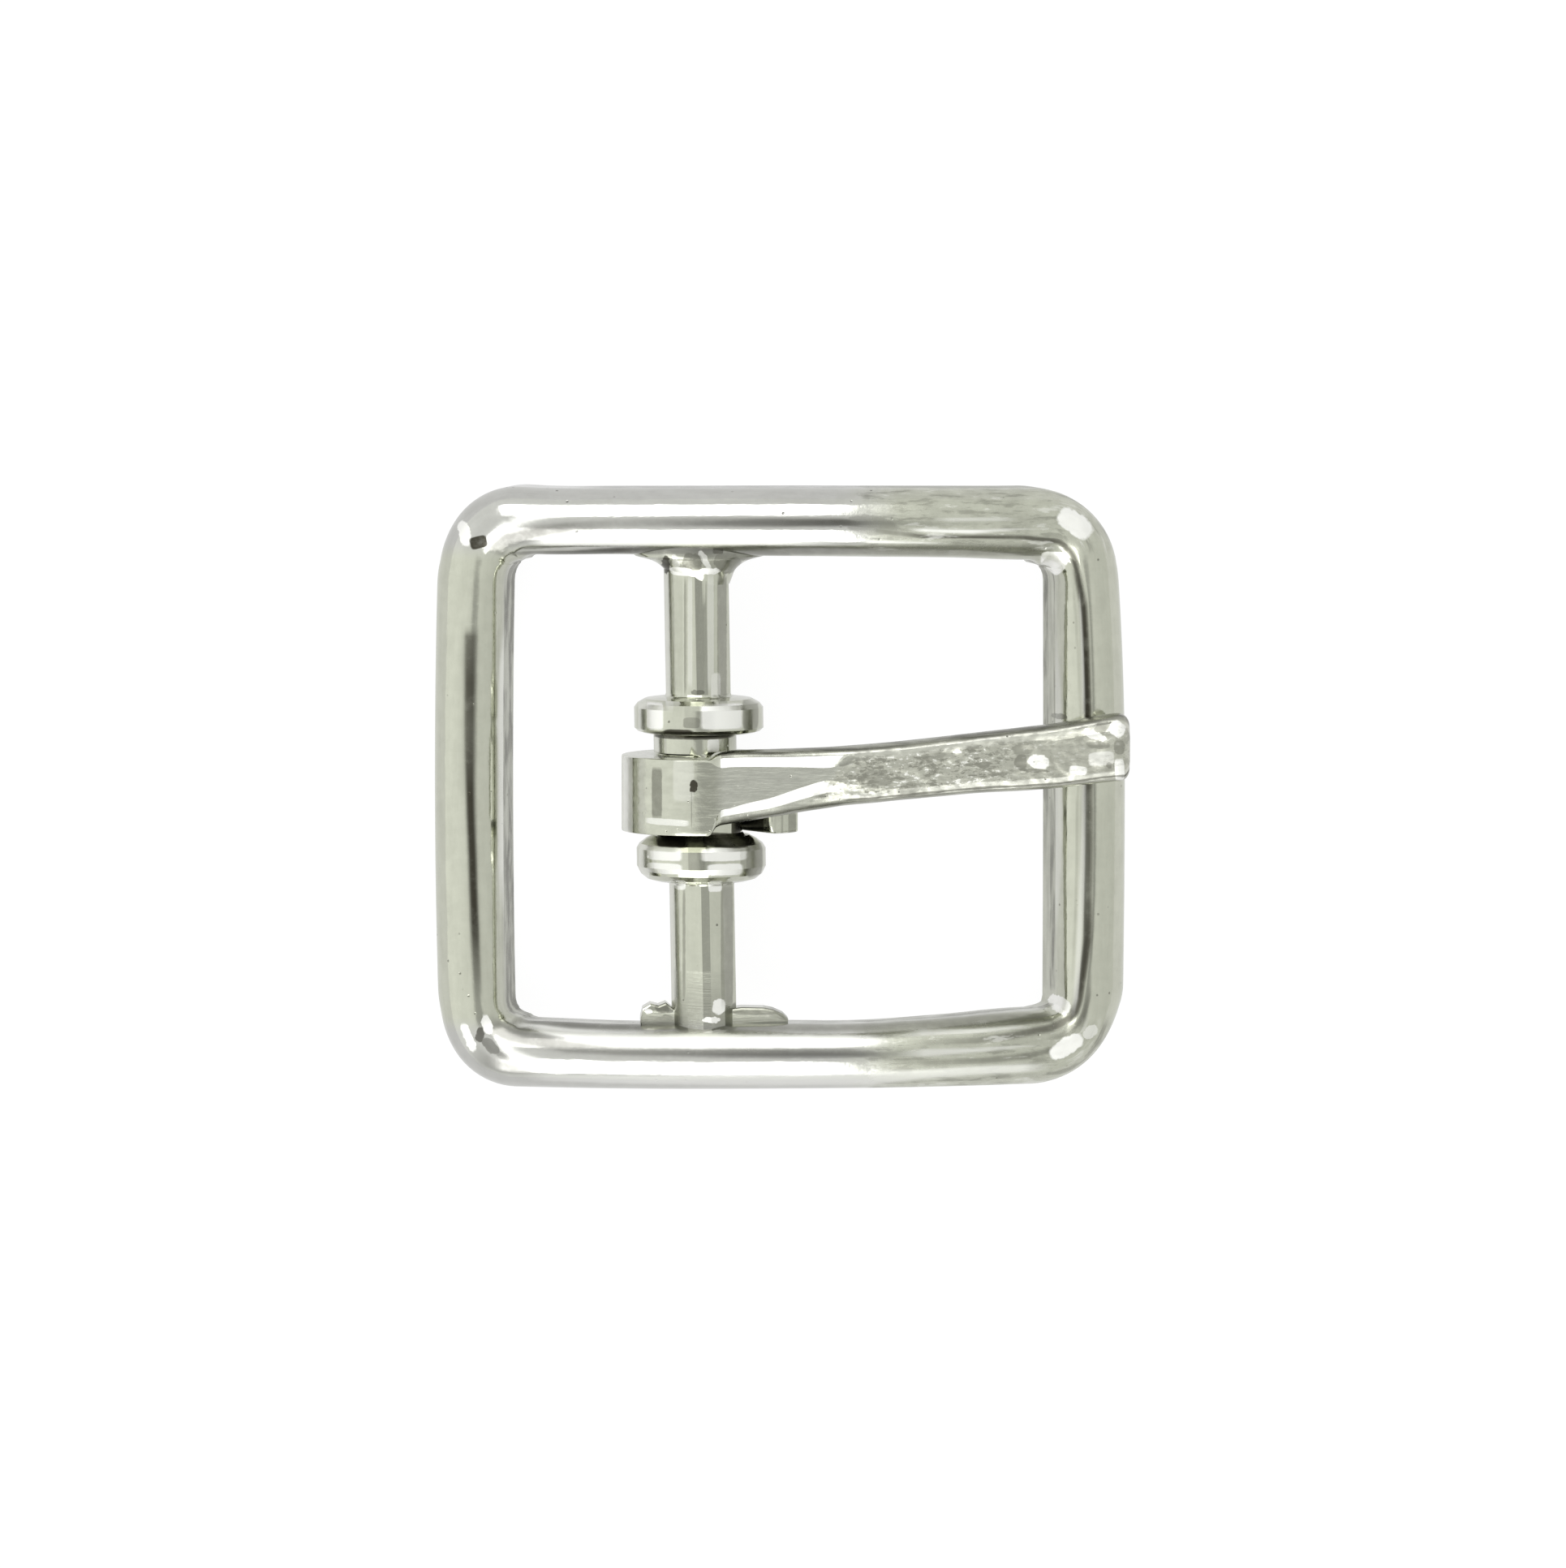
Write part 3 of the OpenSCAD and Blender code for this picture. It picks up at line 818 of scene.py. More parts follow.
# Painted highlights and painted reflections in lines along the rails, in the same columns
PAINTED_HIGHLIGHT_LINES = {
    "right rail, inner side": (
        (25.5, 0.41, 0.02, 0.0), (26.5, 0.42, 0.03, 0.3), (31.5, 0.43, 0.03, 0.3), (34.0, 0.45, 0.05, 0.3),
        (38.0, 0.46, 0.07, 0.35), (42.5, 0.46, 0.06, 0.35), (43.5, 0.52, 0.04, 0.0),
    ),
    "right rail, inner edge": (
        (25.0, 0.96, 0.04, 0.0), (26.5, 0.97, 0.06, 0.35), (42.0, 0.97, 0.06, 0.35),
        (43.0, 0.96, 0.04, 0.0),
    ),
    "top left corner": (
        (-1.45, 0.40, 0.03, 0.0), (-1.18, 0.37, 0.06, 1.0), (-0.60, 0.28, 0.11, 1.0),
        (0.0, 0.10, 0.14, 1.0), (0.5, -0.08, 0.15, 1.0), (1.2, -0.24, 0.15, 1.0), (2.0, -0.34, 0.13, 0.6),
        (2.6, -0.36, 0.10, 0.0),
    ),
    "bottom left corner": (
        (65.0, -0.42, 0.12, 0.0), (65.6, -0.38, 0.15, 0.9), (66.5, -0.22, 0.17, 1.0),
        (67.3, 0.00, 0.18, 1.0), (67.8, 0.22, 0.13, 1.0), (68.2, 0.36, 0.06, 0.9), (68.5, 0.42, 0.03, 0.0),
    ),
    "top right corner": (
        (15.9, 0.15, 0.04, 0.0), (16.5, 0.19, 0.045, 0.8), (18.5, 0.25, 0.05, 0.85),
        (20.4, 0.20, 0.03, 0.4), (21.5, 0.20, 0.03, 0.0),
    ),
    "bottom right corner": (
        (46.2, 0.22, 0.03, 0.0), (46.9, 0.22, 0.035, 0.4), (49.0, 0.14, 0.06, 0.6), (50.9, 0.10, 0.10, 0.6),
        (52.2, 0.06, 0.06, 0.0),
    ),
    "top right corner, outer side": (
        (16.8, -0.10, 0.03, 0.0), (17.6, -0.10, 0.05, 0.45), (19.6, -0.10, 0.05, 0.4),
        (20.4, -0.08, 0.03, 0.0),
    ),
    "top right corner, inner side": (
        (14.0, 0.52, 0.03, 0.0), (14.6, 0.52, 0.035, 0.6), (16.6, 0.56, 0.03, 0.5), (17.6, 0.58, 0.03, 0.0),
    ),
    "top rail, inner side": (
        (0.8, 0.60, 0.05, 0.0), (1.4, 0.58, 0.07, 0.9), (4.3, 0.57, 0.07, 0.9), (10.8, 0.55, 0.05, 0.8),
        (13.4, 0.55, 0.04, 0.0),
    ),
    "bottom rail, inner side": (
        (52.4, 0.46, 0.10, 0.0), (53.0, 0.46, 0.13, 0.6), (53.8, 0.49, 0.16, 1.0), (56.7, 0.51, 0.17, 1.0),
        (63.2, 0.51, 0.17, 1.0), (65.1, 0.62, 0.13, 1.0), (66.3, 0.74, 0.09, 1.0), (66.9, 0.80, 0.05, 0.6),
        (67.3, 0.85, 0.04, 0.0),
    ),
    "bottom right corner, inner side": (
        (46.4, 0.76, 0.03, 0.0), (46.9, 0.76, 0.04, 0.4), (48.8, 0.68, 0.06, 0.6), (50.9, 0.67, 0.08, 0.6),
        (52.0, 0.60, 0.06, 0.0),
    ),
    "bottom rail, outer side": (
        (45.6, -0.40, 0.10, 0.0), (46.8, -0.42, 0.12, 0.6), (49.0, -0.46, 0.13, 0.55),
        (51.0, -0.54, 0.14, 0.55), (53.0, -0.64, 0.20, 0.5), (57.0, -0.66, 0.18, 0.5),
        (62.0, -0.68, 0.13, 0.5), (66.0, -0.66, 0.10, 0.3), (67.0, -0.62, 0.10, 0.0),
    ),
    "left rail, inner edge": (
        (74.0, 0.95, 0.04, 0.0), (76.0, 0.97, 0.06, 0.5), (80.0, 0.97, 0.06, 0.55), (84.5, 0.97, 0.06, 0.5),
        (86.5, 0.95, 0.04, 0.0),
    ),
}
# How dark the painted shade is on the end rails' walls that face the windows. Columns: depth below the dome
# as a share of half the rail's width, then shares for the right rail's upper half, its lower half, and the
# left rail
END_WALL_ROWS = (
    (0.00, 0.35, 0.50, 0.9),
    (0.02, 0.35, 1.20, 1.2),
    (0.09, 0.35, 1.20, 1.3),
    (0.11, 1.20, 1.20, 1.3),
    (0.16, 1.20, 1.20, 1.3),
    (0.19, 0.45, 1.20, 1.3),
    (0.42, 0.45, 1.20, 1.3),
    (0.50, 0.45, 0.45, 1.3),
    (0.62, 0.45, 0.45, 1.3),
    (0.70, 1.30, 0.45, 1.3),
    (2.00, 1.30, 0.45, 1.3),
)
# How dark the painted shade is on the long rails' walls that face the windows. Columns: distance along the
# rails, share
WALL_ROWS = (
    (0, 1), (22, 1), (24.5, 0.9), (30.5, 0.9), (33, 0.6), (38, 0.3), (44, 0.3), (46, 1), (67, 1), (70, 0.7),
    (89, 0.7), (91, 1),
)
# Where the right rail's wall changes from its upper to its lower half, in millimetres along the rails
RIGHT_HALVES = (33.0, 37.0)
# Where the painted shade on a wall starts and is full, across the dome and in height, as shares of half the
# rail's width from the foot of the dome
WALL_ACROSS, WALL_HEIGHT = (0.34375, 0.96875), (0.55, -0.45)
# Where an end rail's inner wall and the top rail's outer wall start, across the dome and in height, in the
# same shares
END_WALL, OUTER_WALL = (0.8, 0.02), (-0.85, 0.06)
# How dark the painted shade on the top rail's outer wall is, and where it sets in, in millimetres in X
OUTER_WALL_SHADE, OUTER_WALL_X = 0.42, (-8.4, -7.2)
# Where the bar starts, across the dome in the same share, and half the width that it takes up in X, in
# millimetres
BAR_START, BAR_STRIP = 1.03, 2.9


def line_strength(along, across, total, lines):
    """Strength of the lines at distances along the rails and places across the dome"""
    strength = np.zeros(len(along))
    for rows in lines.values():
        distance, middle, half, most = np.array(rows).T
        place = np.where((along > total / 2) & (distance[0] < 0), along - total, along)
        middle, half, most = (np.interp(place, distance, column) for column in (middle, half, most))
        inside = (place > distance[0]) & (place < distance[-1])
        strength = np.maximum(strength, most * inside / (1 + (np.abs(across - middle) / half) ** 6))
    return strength


def ramp(values, low, high):
    """Shares that rise evenly from 0 at low to 1 at high"""
    return np.clip((values - low) / (high - low), 0, 1)


def grain_place(place, along, across, height, total, dome, on_bar):
    """Each point's place in the metal's grain, which runs round the rails, and along the bar"""
    turn = 2 * math.pi * along / total
    reach = total / (2 * math.pi) / GRAIN_STRETCH
    girth = np.arctan2(across, height) * dome / MM
    round_rails = np.stack((reach * np.cos(turn), reach * np.sin(turn), girth), axis=1)
    along_bar = place / MM * np.array((1, 1 / GRAIN_STRETCH, 1)) + np.array((30.0, 0, 0))
    return np.where(on_bar[:, None], along_bar, round_rails)


def mark_surface(mesh, cfg):
    """Stores for the finish where each point lies on the casting, and how much painted shade and painted
    highlight it gets
    """
    points, ups, inwards, _ = rail_line(cfg)
    distances = np.array(run_lengths(points)) / MM
    line, up, inward = (np.array([tuple(v) for v in rows]) for rows in (points, ups, inwards))
    forward = np.roll(line, -1, axis=0) - np.roll(line, 1, axis=0)
    forward /= np.linalg.norm(forward, axis=1)[:, None]
    place = coordinates(mesh)
    nearest = np.array([((line - p) ** 2).sum(axis=1).argmin() for p in place])
    offset = place - line[nearest]
    inward = inward[nearest]
    dome = cfg.rail_width / 2
    across = (offset * inward).sum(axis=1) / dome
    height = (offset * up[nearest]).sum(axis=1) / dome
    along = distances[nearest] + (offset * forward[nearest]).sum(axis=1) / MM
    total = distances[-1]
    on_bar = (across > BAR_START) & (np.abs(place[:, 0] - PIVOT.x) < BAR_STRIP * MM)
    on_dome = (height > 0) * ~on_bar

    # Painted shade on the rails' walls that face the windows, set along the rails and by depth on the end
    # rails
    wall = ramp(across, *WALL_ACROSS) * ramp(height, *WALL_HEIGHT) * ~on_bar
    wall *= np.interp(along, *np.array(WALL_ROWS).T)
    depths, *shares = np.array(END_WALL_ROWS).T
    upper_right, lower_right, left = (np.interp(-height, depths, row) for row in shares)
    lower = ramp(along, *RIGHT_HALVES)
    end_wall_shade = np.where(place[:, 0] > 0, upper_right * (1 - lower) + lower_right * lower, left)
    end_wall = np.abs(inward[:, 0]) ** 4 * (across > END_WALL[0]) * (height < END_WALL[1]) * ~on_bar
    # Painted shade on the top rail's outer wall, which faces +Y
    facing_up_y = np.clip(-inward[:, 1], 0, 1) ** 2
    outer_wall = (across < OUTER_WALL[0]) * (height < OUTER_WALL[1]) * facing_up_y
    outer_wall = outer_wall * ramp(place[:, 0] / MM, *OUTER_WALL_X)
    # Painted dark reflections and painted shade in lines along the domes
    painted_shade = line_strength(along, across, total, PAINTED_SHADE_LINES) * on_dome

    store(mesh, "grain", grain_place(place, along, across, height, total, dome, on_bar))
    store(mesh, "wall", wall * (1 - end_wall) + end_wall_shade * end_wall)
    store(mesh, "painted_shade", np.maximum(painted_shade, OUTER_WALL_SHADE * outer_wall))
    # Painted highlight lines along the domes
    store(mesh, "painted_highlight", line_strength(along, across, total, PAINTED_HIGHLIGHT_LINES) * on_dome)
    store(mesh, "on_bar", on_bar)


class BUCKLE_OT_frame(bpy.types.Operator):
    """Casts the frame with its rails, corners, center bar and collars"""

    bl_idname = "buckle.frame"
    bl_label = "Cast Frame"

    def execute(self, context):
        scene = context.scene
        finish = bpy.data.materials.new("polished_nickel")
        whole = rails(scene.buckle_frame, finish)
        bar = turned_bar(scene.buckle_bar)
        root, pad = bar_root(scene.buckle_frame), bar_pad(scene.buckle_frame)
        casting = union(whole, [bar, root, pad], "frame_casting")
        mark_surface(casting.data, scene.buckle_frame)
        smooth(casting, FRAME_SHARPNESS)
        casting.data.materials.clear()
        casting.data.materials.append(finish)
        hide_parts("frame")
        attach(casting, "frame")
        return {"FINISHED"}


# The tongue

# Shank from the bar to the tip, in millimetres, in the frame of its slope. Columns: distance from the bar's
# axis, upper side, lower side, top, underside, then how far in from each side its bevel starts and ends
# (upper side, lower side), fall of the bevels, squareness of the underside
SHANK_ROWS = (
    (0.00, 1.40, -1.76, 3.22, 1.79, 0.05, 0.12, 0.05, 0.12, 0.014, 7.0),
    (0.45, 1.62, -1.40, 3.22, 1.77, 0.20, 0.54, 0.38, 0.62, 0.13, 5.0),
    (0.90, 1.70, -1.30, 3.22, 1.70, 0.26, 0.60, 0.42, 0.68, 0.15, 3.4),
    (1.50, 1.73, -1.20, 3.22, 1.61, 0.28, 0.62, 0.42, 0.76, 0.15, 2.8),
    (2.60, 1.75, -1.05, 3.22, 1.53, 0.30, 0.66, 0.45, 0.86, 0.16, 2.4),
    (3.90, 1.78, -0.84, 3.22, 1.49, 0.32, 0.72, 0.60, 1.08, 0.17, 2.3),
    (4.90, 1.81, -0.70, 3.22, 1.47, 0.32, 0.78, 0.72, 1.20, 0.16, 2.3),
    (5.60, 1.85, -0.60, 3.21, 1.46, 0.34, 0.72, 0.68, 1.00, 0.07, 2.3),
    (6.90, 1.94, -0.49, 3.20, 1.46, 0.36, 0.68, 0.36, 0.62, 0.05, 2.3),
    (7.90, 2.02, -0.39, 3.20, 1.46, 0.36, 0.68, 0.30, 0.55, 0.05, 2.4),
    (9.60, 2.19, -0.25, 3.19, 1.46, 0.36, 0.66, 0.28, 0.52, 0.05, 2.4),
    (11.2, 2.36, -0.12, 3.18, 1.46, 0.36, 0.66, 0.26, 0.50, 0.05, 2.5),
    (12.9, 2.54, -0.05, 3.18, 1.46, 0.34, 0.66, 0.26, 0.50, 0.06, 2.6),
    (14.5, 2.72, 0.06, 3.18, 1.46, 0.34, 0.64, 0.26, 0.48, 0.08, 2.8),
    (15.8, 2.94, 0.20, 3.18, 1.45, 0.34, 0.64, 0.26, 0.46, 0.10, 3.0),
    (16.8, 3.08, 0.30, 3.14, 1.38, 0.34, 0.62, 0.26, 0.46, 0.12, 3.2),
    (17.6, 3.08, 0.30, 2.98, 1.16, 0.30, 0.60, 0.26, 0.46, 0.12, 3.4),
)
# Lumps and hollows in the cast top, in millimetres. Columns: distance from the bar's axis, place along the
# bar, half length, half width, height
LUMP_ROWS = (
    (13.00, 1.50, 0.50, 0.45, -0.07),
    (13.60, 1.20, 0.45, 0.32, 0.06),
    (15.20, 0.83, 0.37, 0.22, 0.05),
    (16.20, 1.30, 0.50, 0.30, 0.06),
    (16.00, 1.80, 0.55, 0.18, -0.05),
    (16.00, 2.21, 0.40, 0.20, 0.05),
    (16.90, 1.75, 0.30, 0.30, -0.06),
    (16.80, 2.50, 0.30, 0.36, 0.05),
    (16.93, 0.83, 0.25, 0.45, 0.05),
    (10.30, 1.62, 0.20, 0.10, 0.04),
)
# Squareness of the strip's inner side in the eye
STRIP_SQUARENESS = 7.5
# How much wider the tail is than the eye towards the lower collar, in millimetres
TAIL_WIDENING = 0.07
# Steps round a section, and along the strip
FLAT_STEPS, BEVEL_STEPS, FLANK_STEPS, SOLE_STEPS = 22, 5, 12, 12
TAIL_END_STEPS, TAIL_STEPS, EYE_STEPS, SHANK_STEPS, TIP_STEPS = 5, 9, 84, 190, 12
# Painted highlights on the bevels beside the flat, in millimetres from the bar's axis. Columns: start, end
# beside the flat, end beside the flank, for the upper and the lower bevel
UPPER_BEVEL = (0.46, 5.10, 5.60)
LOWER_BEVEL = (0.46, 4.80, 5.55)


def bevel_mask(out, k):
    """1 where point k of a section lies on a bevel that gets a painted highlight"""
    count = FLAT_STEPS + 2 * (BEVEL_STEPS + FLANK_STEPS + SOLE_STEPS)
    for first, (start, inner_end, outer_end), falls in (
        (FLAT_STEPS, UPPER_BEVEL, True),
        (count - BEVEL_STEPS, LOWER_BEVEL, False),
    ):
        step = (k - first) % count
        if step <= BEVEL_STEPS:
            share = step / BEVEL_STEPS if falls else 1 - step / BEVEL_STEPS
            if start < out < inner_end + (outer_end - inner_end) * share:
                return 1.0
    return 0.0


def flank_mask(out, k):
    """1 where point k of a section lies on one of the shank's flanks"""
    first = FLAT_STEPS + BEVEL_STEPS
    last = first + 2 * (FLANK_STEPS + SOLE_STEPS)
    return 1.0 if out > 0.6 and first < k < last else 0.0


# Stands for the distance from the sides of points that lie below them, in millimetres
FAR_GAP = 9.0


def side_gaps(section, out, y, k):
    """How far point k of a section lies from the shank's upper and lower side and along it, in millimetres"""
    first = FLAT_STEPS + BEVEL_STEPS + FLANK_STEPS
    if out < 0.5 or first < k < first + 2 * SOLE_STEPS:
        return (FAR_GAP, FAR_GAP, out)
    return ((section[0] - y) / MM, (y - section[1]) / MM, out)


def quarter(centre_y, centre_z, reach_y, reach_z, power, falling, steps):
    """A quarter of a squared ellipse between its top or bottom and its side, without its last point"""
    points = []
    for k in range(steps):
        share = k / steps if falling else 1 - k / steps
        a = share * math.pi / 2
        points.append((centre_y + reach_y * math.sin(a) ** power, centre_z + reach_z * math.cos(a) ** power))
    return points


def between(start, stop, steps):
    """Points on a straight line, without its last point"""
    step = [(b - a) / steps for a, b in zip(start, stop)]
    return [tuple(a + d * k for a, d in zip(start, step)) for k in range(steps)]


def strip_ring(high, low, top, bottom, high_1, high_2, low_1, low_2, fall, square):
    """A section of the strip, as pairs of place along the bar and height, from the flat's lower edge round"""
    mid_y, mid_z = (high + low) / 2, (top + bottom) / 2
    half_y, sole, flank = (high - low) / 2, bottom - mid_z, top - fall - mid_z
    side, under = 2 / 2.3, 2 / square
    ring = between((low + low_2, top), (high - high_2, top), FLAT_STEPS)
    ring += between((high - high_2, top), (high - high_1, top - fall), BEVEL_STEPS)
    ring += quarter(high - high_1, mid_z, high_1, flank, side, True, FLANK_STEPS)
    ring += quarter(mid_y, mid_z, half_y, sole, under, False, SOLE_STEPS)
    ring += quarter(mid_y, mid_z, -half_y, sole, under, True, SOLE_STEPS)
    ring += quarter(low + low_1, mid_z, -low_1, flank, side, False, FLANK_STEPS)
    ring += between((low + low_1, top - fall), (low + low_2, top), BEVEL_STEPS)
    return ring


# Where the rough cast top starts, in millimetres: distance from the bar's axis at its foremost point, how
# much that grows beside it, the point's place along the bar, and the length over which the top gets rough
CAST_START, CAST_CURVE, CAST_MIDDLE, CAST_RISE = 5.1, 0.3, 0.55, 0.5


def cast_relief(x, y, ring_share):
    """Height of the rough cast top at x from the bar's axis and y along the bar, in millimetres"""
    edge = CAST_START + CAST_CURVE * abs(y - CAST_MIDDLE)
    rough = ease((x - edge) / CAST_RISE) * ring_share
    here = Vector((x, y, 0.0))
    height = 0.022 * noise.noise(here * 2.6) + 0.012 * noise.noise(here * 6.1)
    for lump_x, lump_y, half_x, half_y, lump in LUMP_ROWS:
        height += lump * math.exp(-(((x - lump_x) / half_x) ** 2) - ((y - lump_y) / half_y) ** 2)
    return height * rough


def tongue_stations(cfg, bore):
    """Origin, direction up, section and distance along the shank of each ring, from the tail to the tip"""
    outer = bore + cfg.strip_thickness
    high = cfg.eye_shift + cfg.eye_width / 2
    low = cfg.eye_shift - cfg.eye_width / 2
    bevel = tuple(v * MM for v in SHANK_ROWS[0][5:10])

    def turned(angle):
        return Vector((math.cos(angle), 0, math.sin(angle)))

    def strip(shrink=0.0, widen=0.0):
        return (high - shrink, low + shrink - widen, outer - shrink, bore + shrink, *bevel, STRIP_SQUARENESS)

    stations = []
    tail_out = turned(-cfg.tail_angle)
    tail_along = turned(math.pi / 2 - cfg.tail_angle)
    soft = 0.16 * MM
    for k in range(TAIL_END_STEPS + 1):
        a = math.pi / 2 * k / TAIL_END_STEPS
        origin = PIVOT + tail_along * (cfg.tail_length - soft + soft * math.cos(a))
        stations.append((origin, tail_out, strip(soft * (1 - math.sin(a)), TAIL_WIDENING * MM), 0.0))
    for k in range(1, TAIL_STEPS):
        origin = PIVOT + tail_along * (cfg.tail_length - soft) * (1 - k / TAIL_STEPS)
        stations.append((origin, tail_out, strip(0.0, TAIL_WIDENING * MM), 0.0))
    start, stop = 2 * math.pi - cfg.tail_angle, math.pi / 2 - cfg.slope
    for k in range(EYE_STEPS):
        widen = TAIL_WIDENING * MM * (1 - ease(k / 20))
        stations.append((PIVOT, turned(start + (stop - start) * k / EYE_STEPS), strip(0.0, widen), 0.0))
    along, up = turned(-cfg.slope), turned(math.pi / 2 - cfg.slope)
    tip = 0.45 * MM
    straight = cfg.reach - tip
    for k in range(SHANK_STEPS + 1):
        x = straight * k / SHANK_STEPS
        *sizes, square = row_values(SHANK_ROWS, x / MM)
        blend = min(x / (0.3 * MM), 1.0)
        joined = [s + (r * MM - s) * blend for s, r in zip(strip(), sizes)]
        joined.append(STRIP_SQUARENESS + (square - STRIP_SQUARENESS) * blend)
        stations.append((PIVOT + along * x, up, joined, x / MM))
    for k in range(1, TIP_STEPS):
        a = math.pi / 2 * k / TIP_STEPS
        x = straight + tip * math.sin(a)
        *sizes, square = row_values(SHANK_ROWS, x / MM)
        draw = tip * (1 - math.cos(a))
        moved = [v * MM + d for v, d in zip(sizes, (-draw, draw, -draw, draw, 0, 0, 0, 0, 0))]
        stations.append((PIVOT + along * x, up, (*moved, square), x / MM))
    return stations


class BUCKLE_OT_tongue(bpy.types.Operator):
    """Bends the strip round the barrel and draws it out into the tongue"""

    bl_idname = "buckle.tongue"
    bl_label = "Bend Tongue"

    def execute(self, context):
        cfg = context.scene.buckle_tongue
        bore = context.scene.buckle_bar.barrel_diameter / 2 + cfg.eye_gap
        rings, tops, bevel_highlights, flanks, gaps = [], [], [], [], []
        for origin, up, section, out in tongue_stations(cfg, bore):
            top, middle = section[2], (section[2] + section[3]) / 2
            ring = []
            for k, (y, z) in enumerate(strip_ring(*section)):
                share = ease((z - middle) / (top - middle) * 2 - 1)
                tops.append(share if out > 0 else 0.0)
                bevel_highlights.append(bevel_mask(out, k))
                flanks.append(flank_mask(out, k))
                gaps.append(side_gaps(section, out, y, k))
                z += cast_relief(out, y / MM, share) * MM
                ring.append(origin + Vector((0, y, 0)) + up * z)
            rings.append(ring)
        strip = mesh_object("tongue_strip", *loft(rings))
        marks = {"cast_top": tops, "bevel": bevel_highlights, "flank": flanks, "side_gaps": gaps}
        for label, values in marks.items():
            store(strip.data, label, values)
        smooth(strip, TONGUE_SHARPNESS)
        strip.data.materials.append(bpy.data.materials.new("cast_nickel"))
        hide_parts("tongue")
        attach(strip, "tongue")
        return {"FINISHED"}


# Finishes


def grain_group():
    """Streaks along the metal's grain, mottling and pits of the cast skin, and their relief"""
    inputs = {"Place": "Vector", "Grain": "Vector", "Streak Scale": "Float", "Mottle Scale": "Float"}
    outputs = dict.fromkeys(("Streak", "Mottle", "Pits", "Height"), "Float")
    net, given, result = new_group("Cast Grain", "ShaderNodeTree", inputs, outputs)
    streak = net.noise(given["Grain"], given["Streak Scale"], detail=3.0, roughness=0.6)
    mottle = net.noise(given["Place"], given["Mottle Scale"], detail=5.0, roughness=0.62)
    cell_scale = net.times(given["Mottle Scale"], 1.15)
    cells = net.add("ShaderNodeTexVoronoi", {"Vector": given["Place"], "Scale": cell_scale})
    chosen = net.fade(net.noise(given["Place"], scale=0.9, detail=2.0), 0.50, 0.62)
    pits = net.times(net.fade(cells["Distance"], 0.13, 0.05), chosen)
    height = net.plus(net.times(streak, 0.6), net.times(mottle, 0.5))
    height = net.minus(height, net.times(pits, 0.8))
    for label, value in (("Streak", streak), ("Mottle", mottle), ("Pits", pits), ("Height", height)):
        net.feed(value, result[label])
    return net.tree


def patch_group():
    """A soft patch seen from above: an ellipse, or a rectangle where it is squared"""
    inputs = {
        "Place": "Vector",
        "Centre": "Vector",
        "Half Size": "Vector",
        "Turn": "Float",
        "Squareness": "Float",
    }
    net, given, result = new_group("Soft Patch", "ShaderNodeTree", inputs, {"Mask": "Float"})
    local = net.vector("SUBTRACT", given["Place"], given["Centre"])
    angle = net.times(given["Turn"], -1.0)
    turned = net.add("ShaderNodeVectorRotate", {"Vector": local, "Angle": angle}, rotation_type="Z_AXIS")[0]
    scaled = net.vector("DIVIDE", turned, given["Half Size"])
    # Dot products, because each leaves no value behind and one finish holds more than seventy patches
    shares = [net.vector("DOT_PRODUCT", scaled, axis) for axis in ((1, 0, 0), (0, 1, 0))]
    powers = [net.calc("POWER", net.calc("ABSOLUTE", share), given["Squareness"]) for share in shares]
    reach = net.calc("POWER", net.plus(*powers), net.calc("DIVIDE", 1.0, given["Squareness"]))
    net.feed(net.fade(reach, 1.12, 0.9), result["Mask"])
    return net.tree


def wear_group():
    """Bright rubbed edges and dark hollows, from how sharply the surface bends"""
    inputs = {"Place": "Vector", "Edge Start": "Float", "Edge Full": "Float"}
    outputs = {"Edges": "Float", "Hollows": "Float"}
    net, given, result = new_group("Edge Wear", "ShaderNodeTree", inputs, outputs)
    bend = net.add("ShaderNodeNewGeometry", {})["Pointiness"]
    uneven = net.fade(net.noise(given["Place"], scale=1.7, detail=3.0), 0.35, 0.65, start=0.35)
    net.feed(net.times(net.fade(bend, given["Edge Start"], given["Edge Full"]), uneven), result["Edges"])
    net.feed(net.fade(bend, 0.47, 0.40), result["Hollows"])
    return net.tree


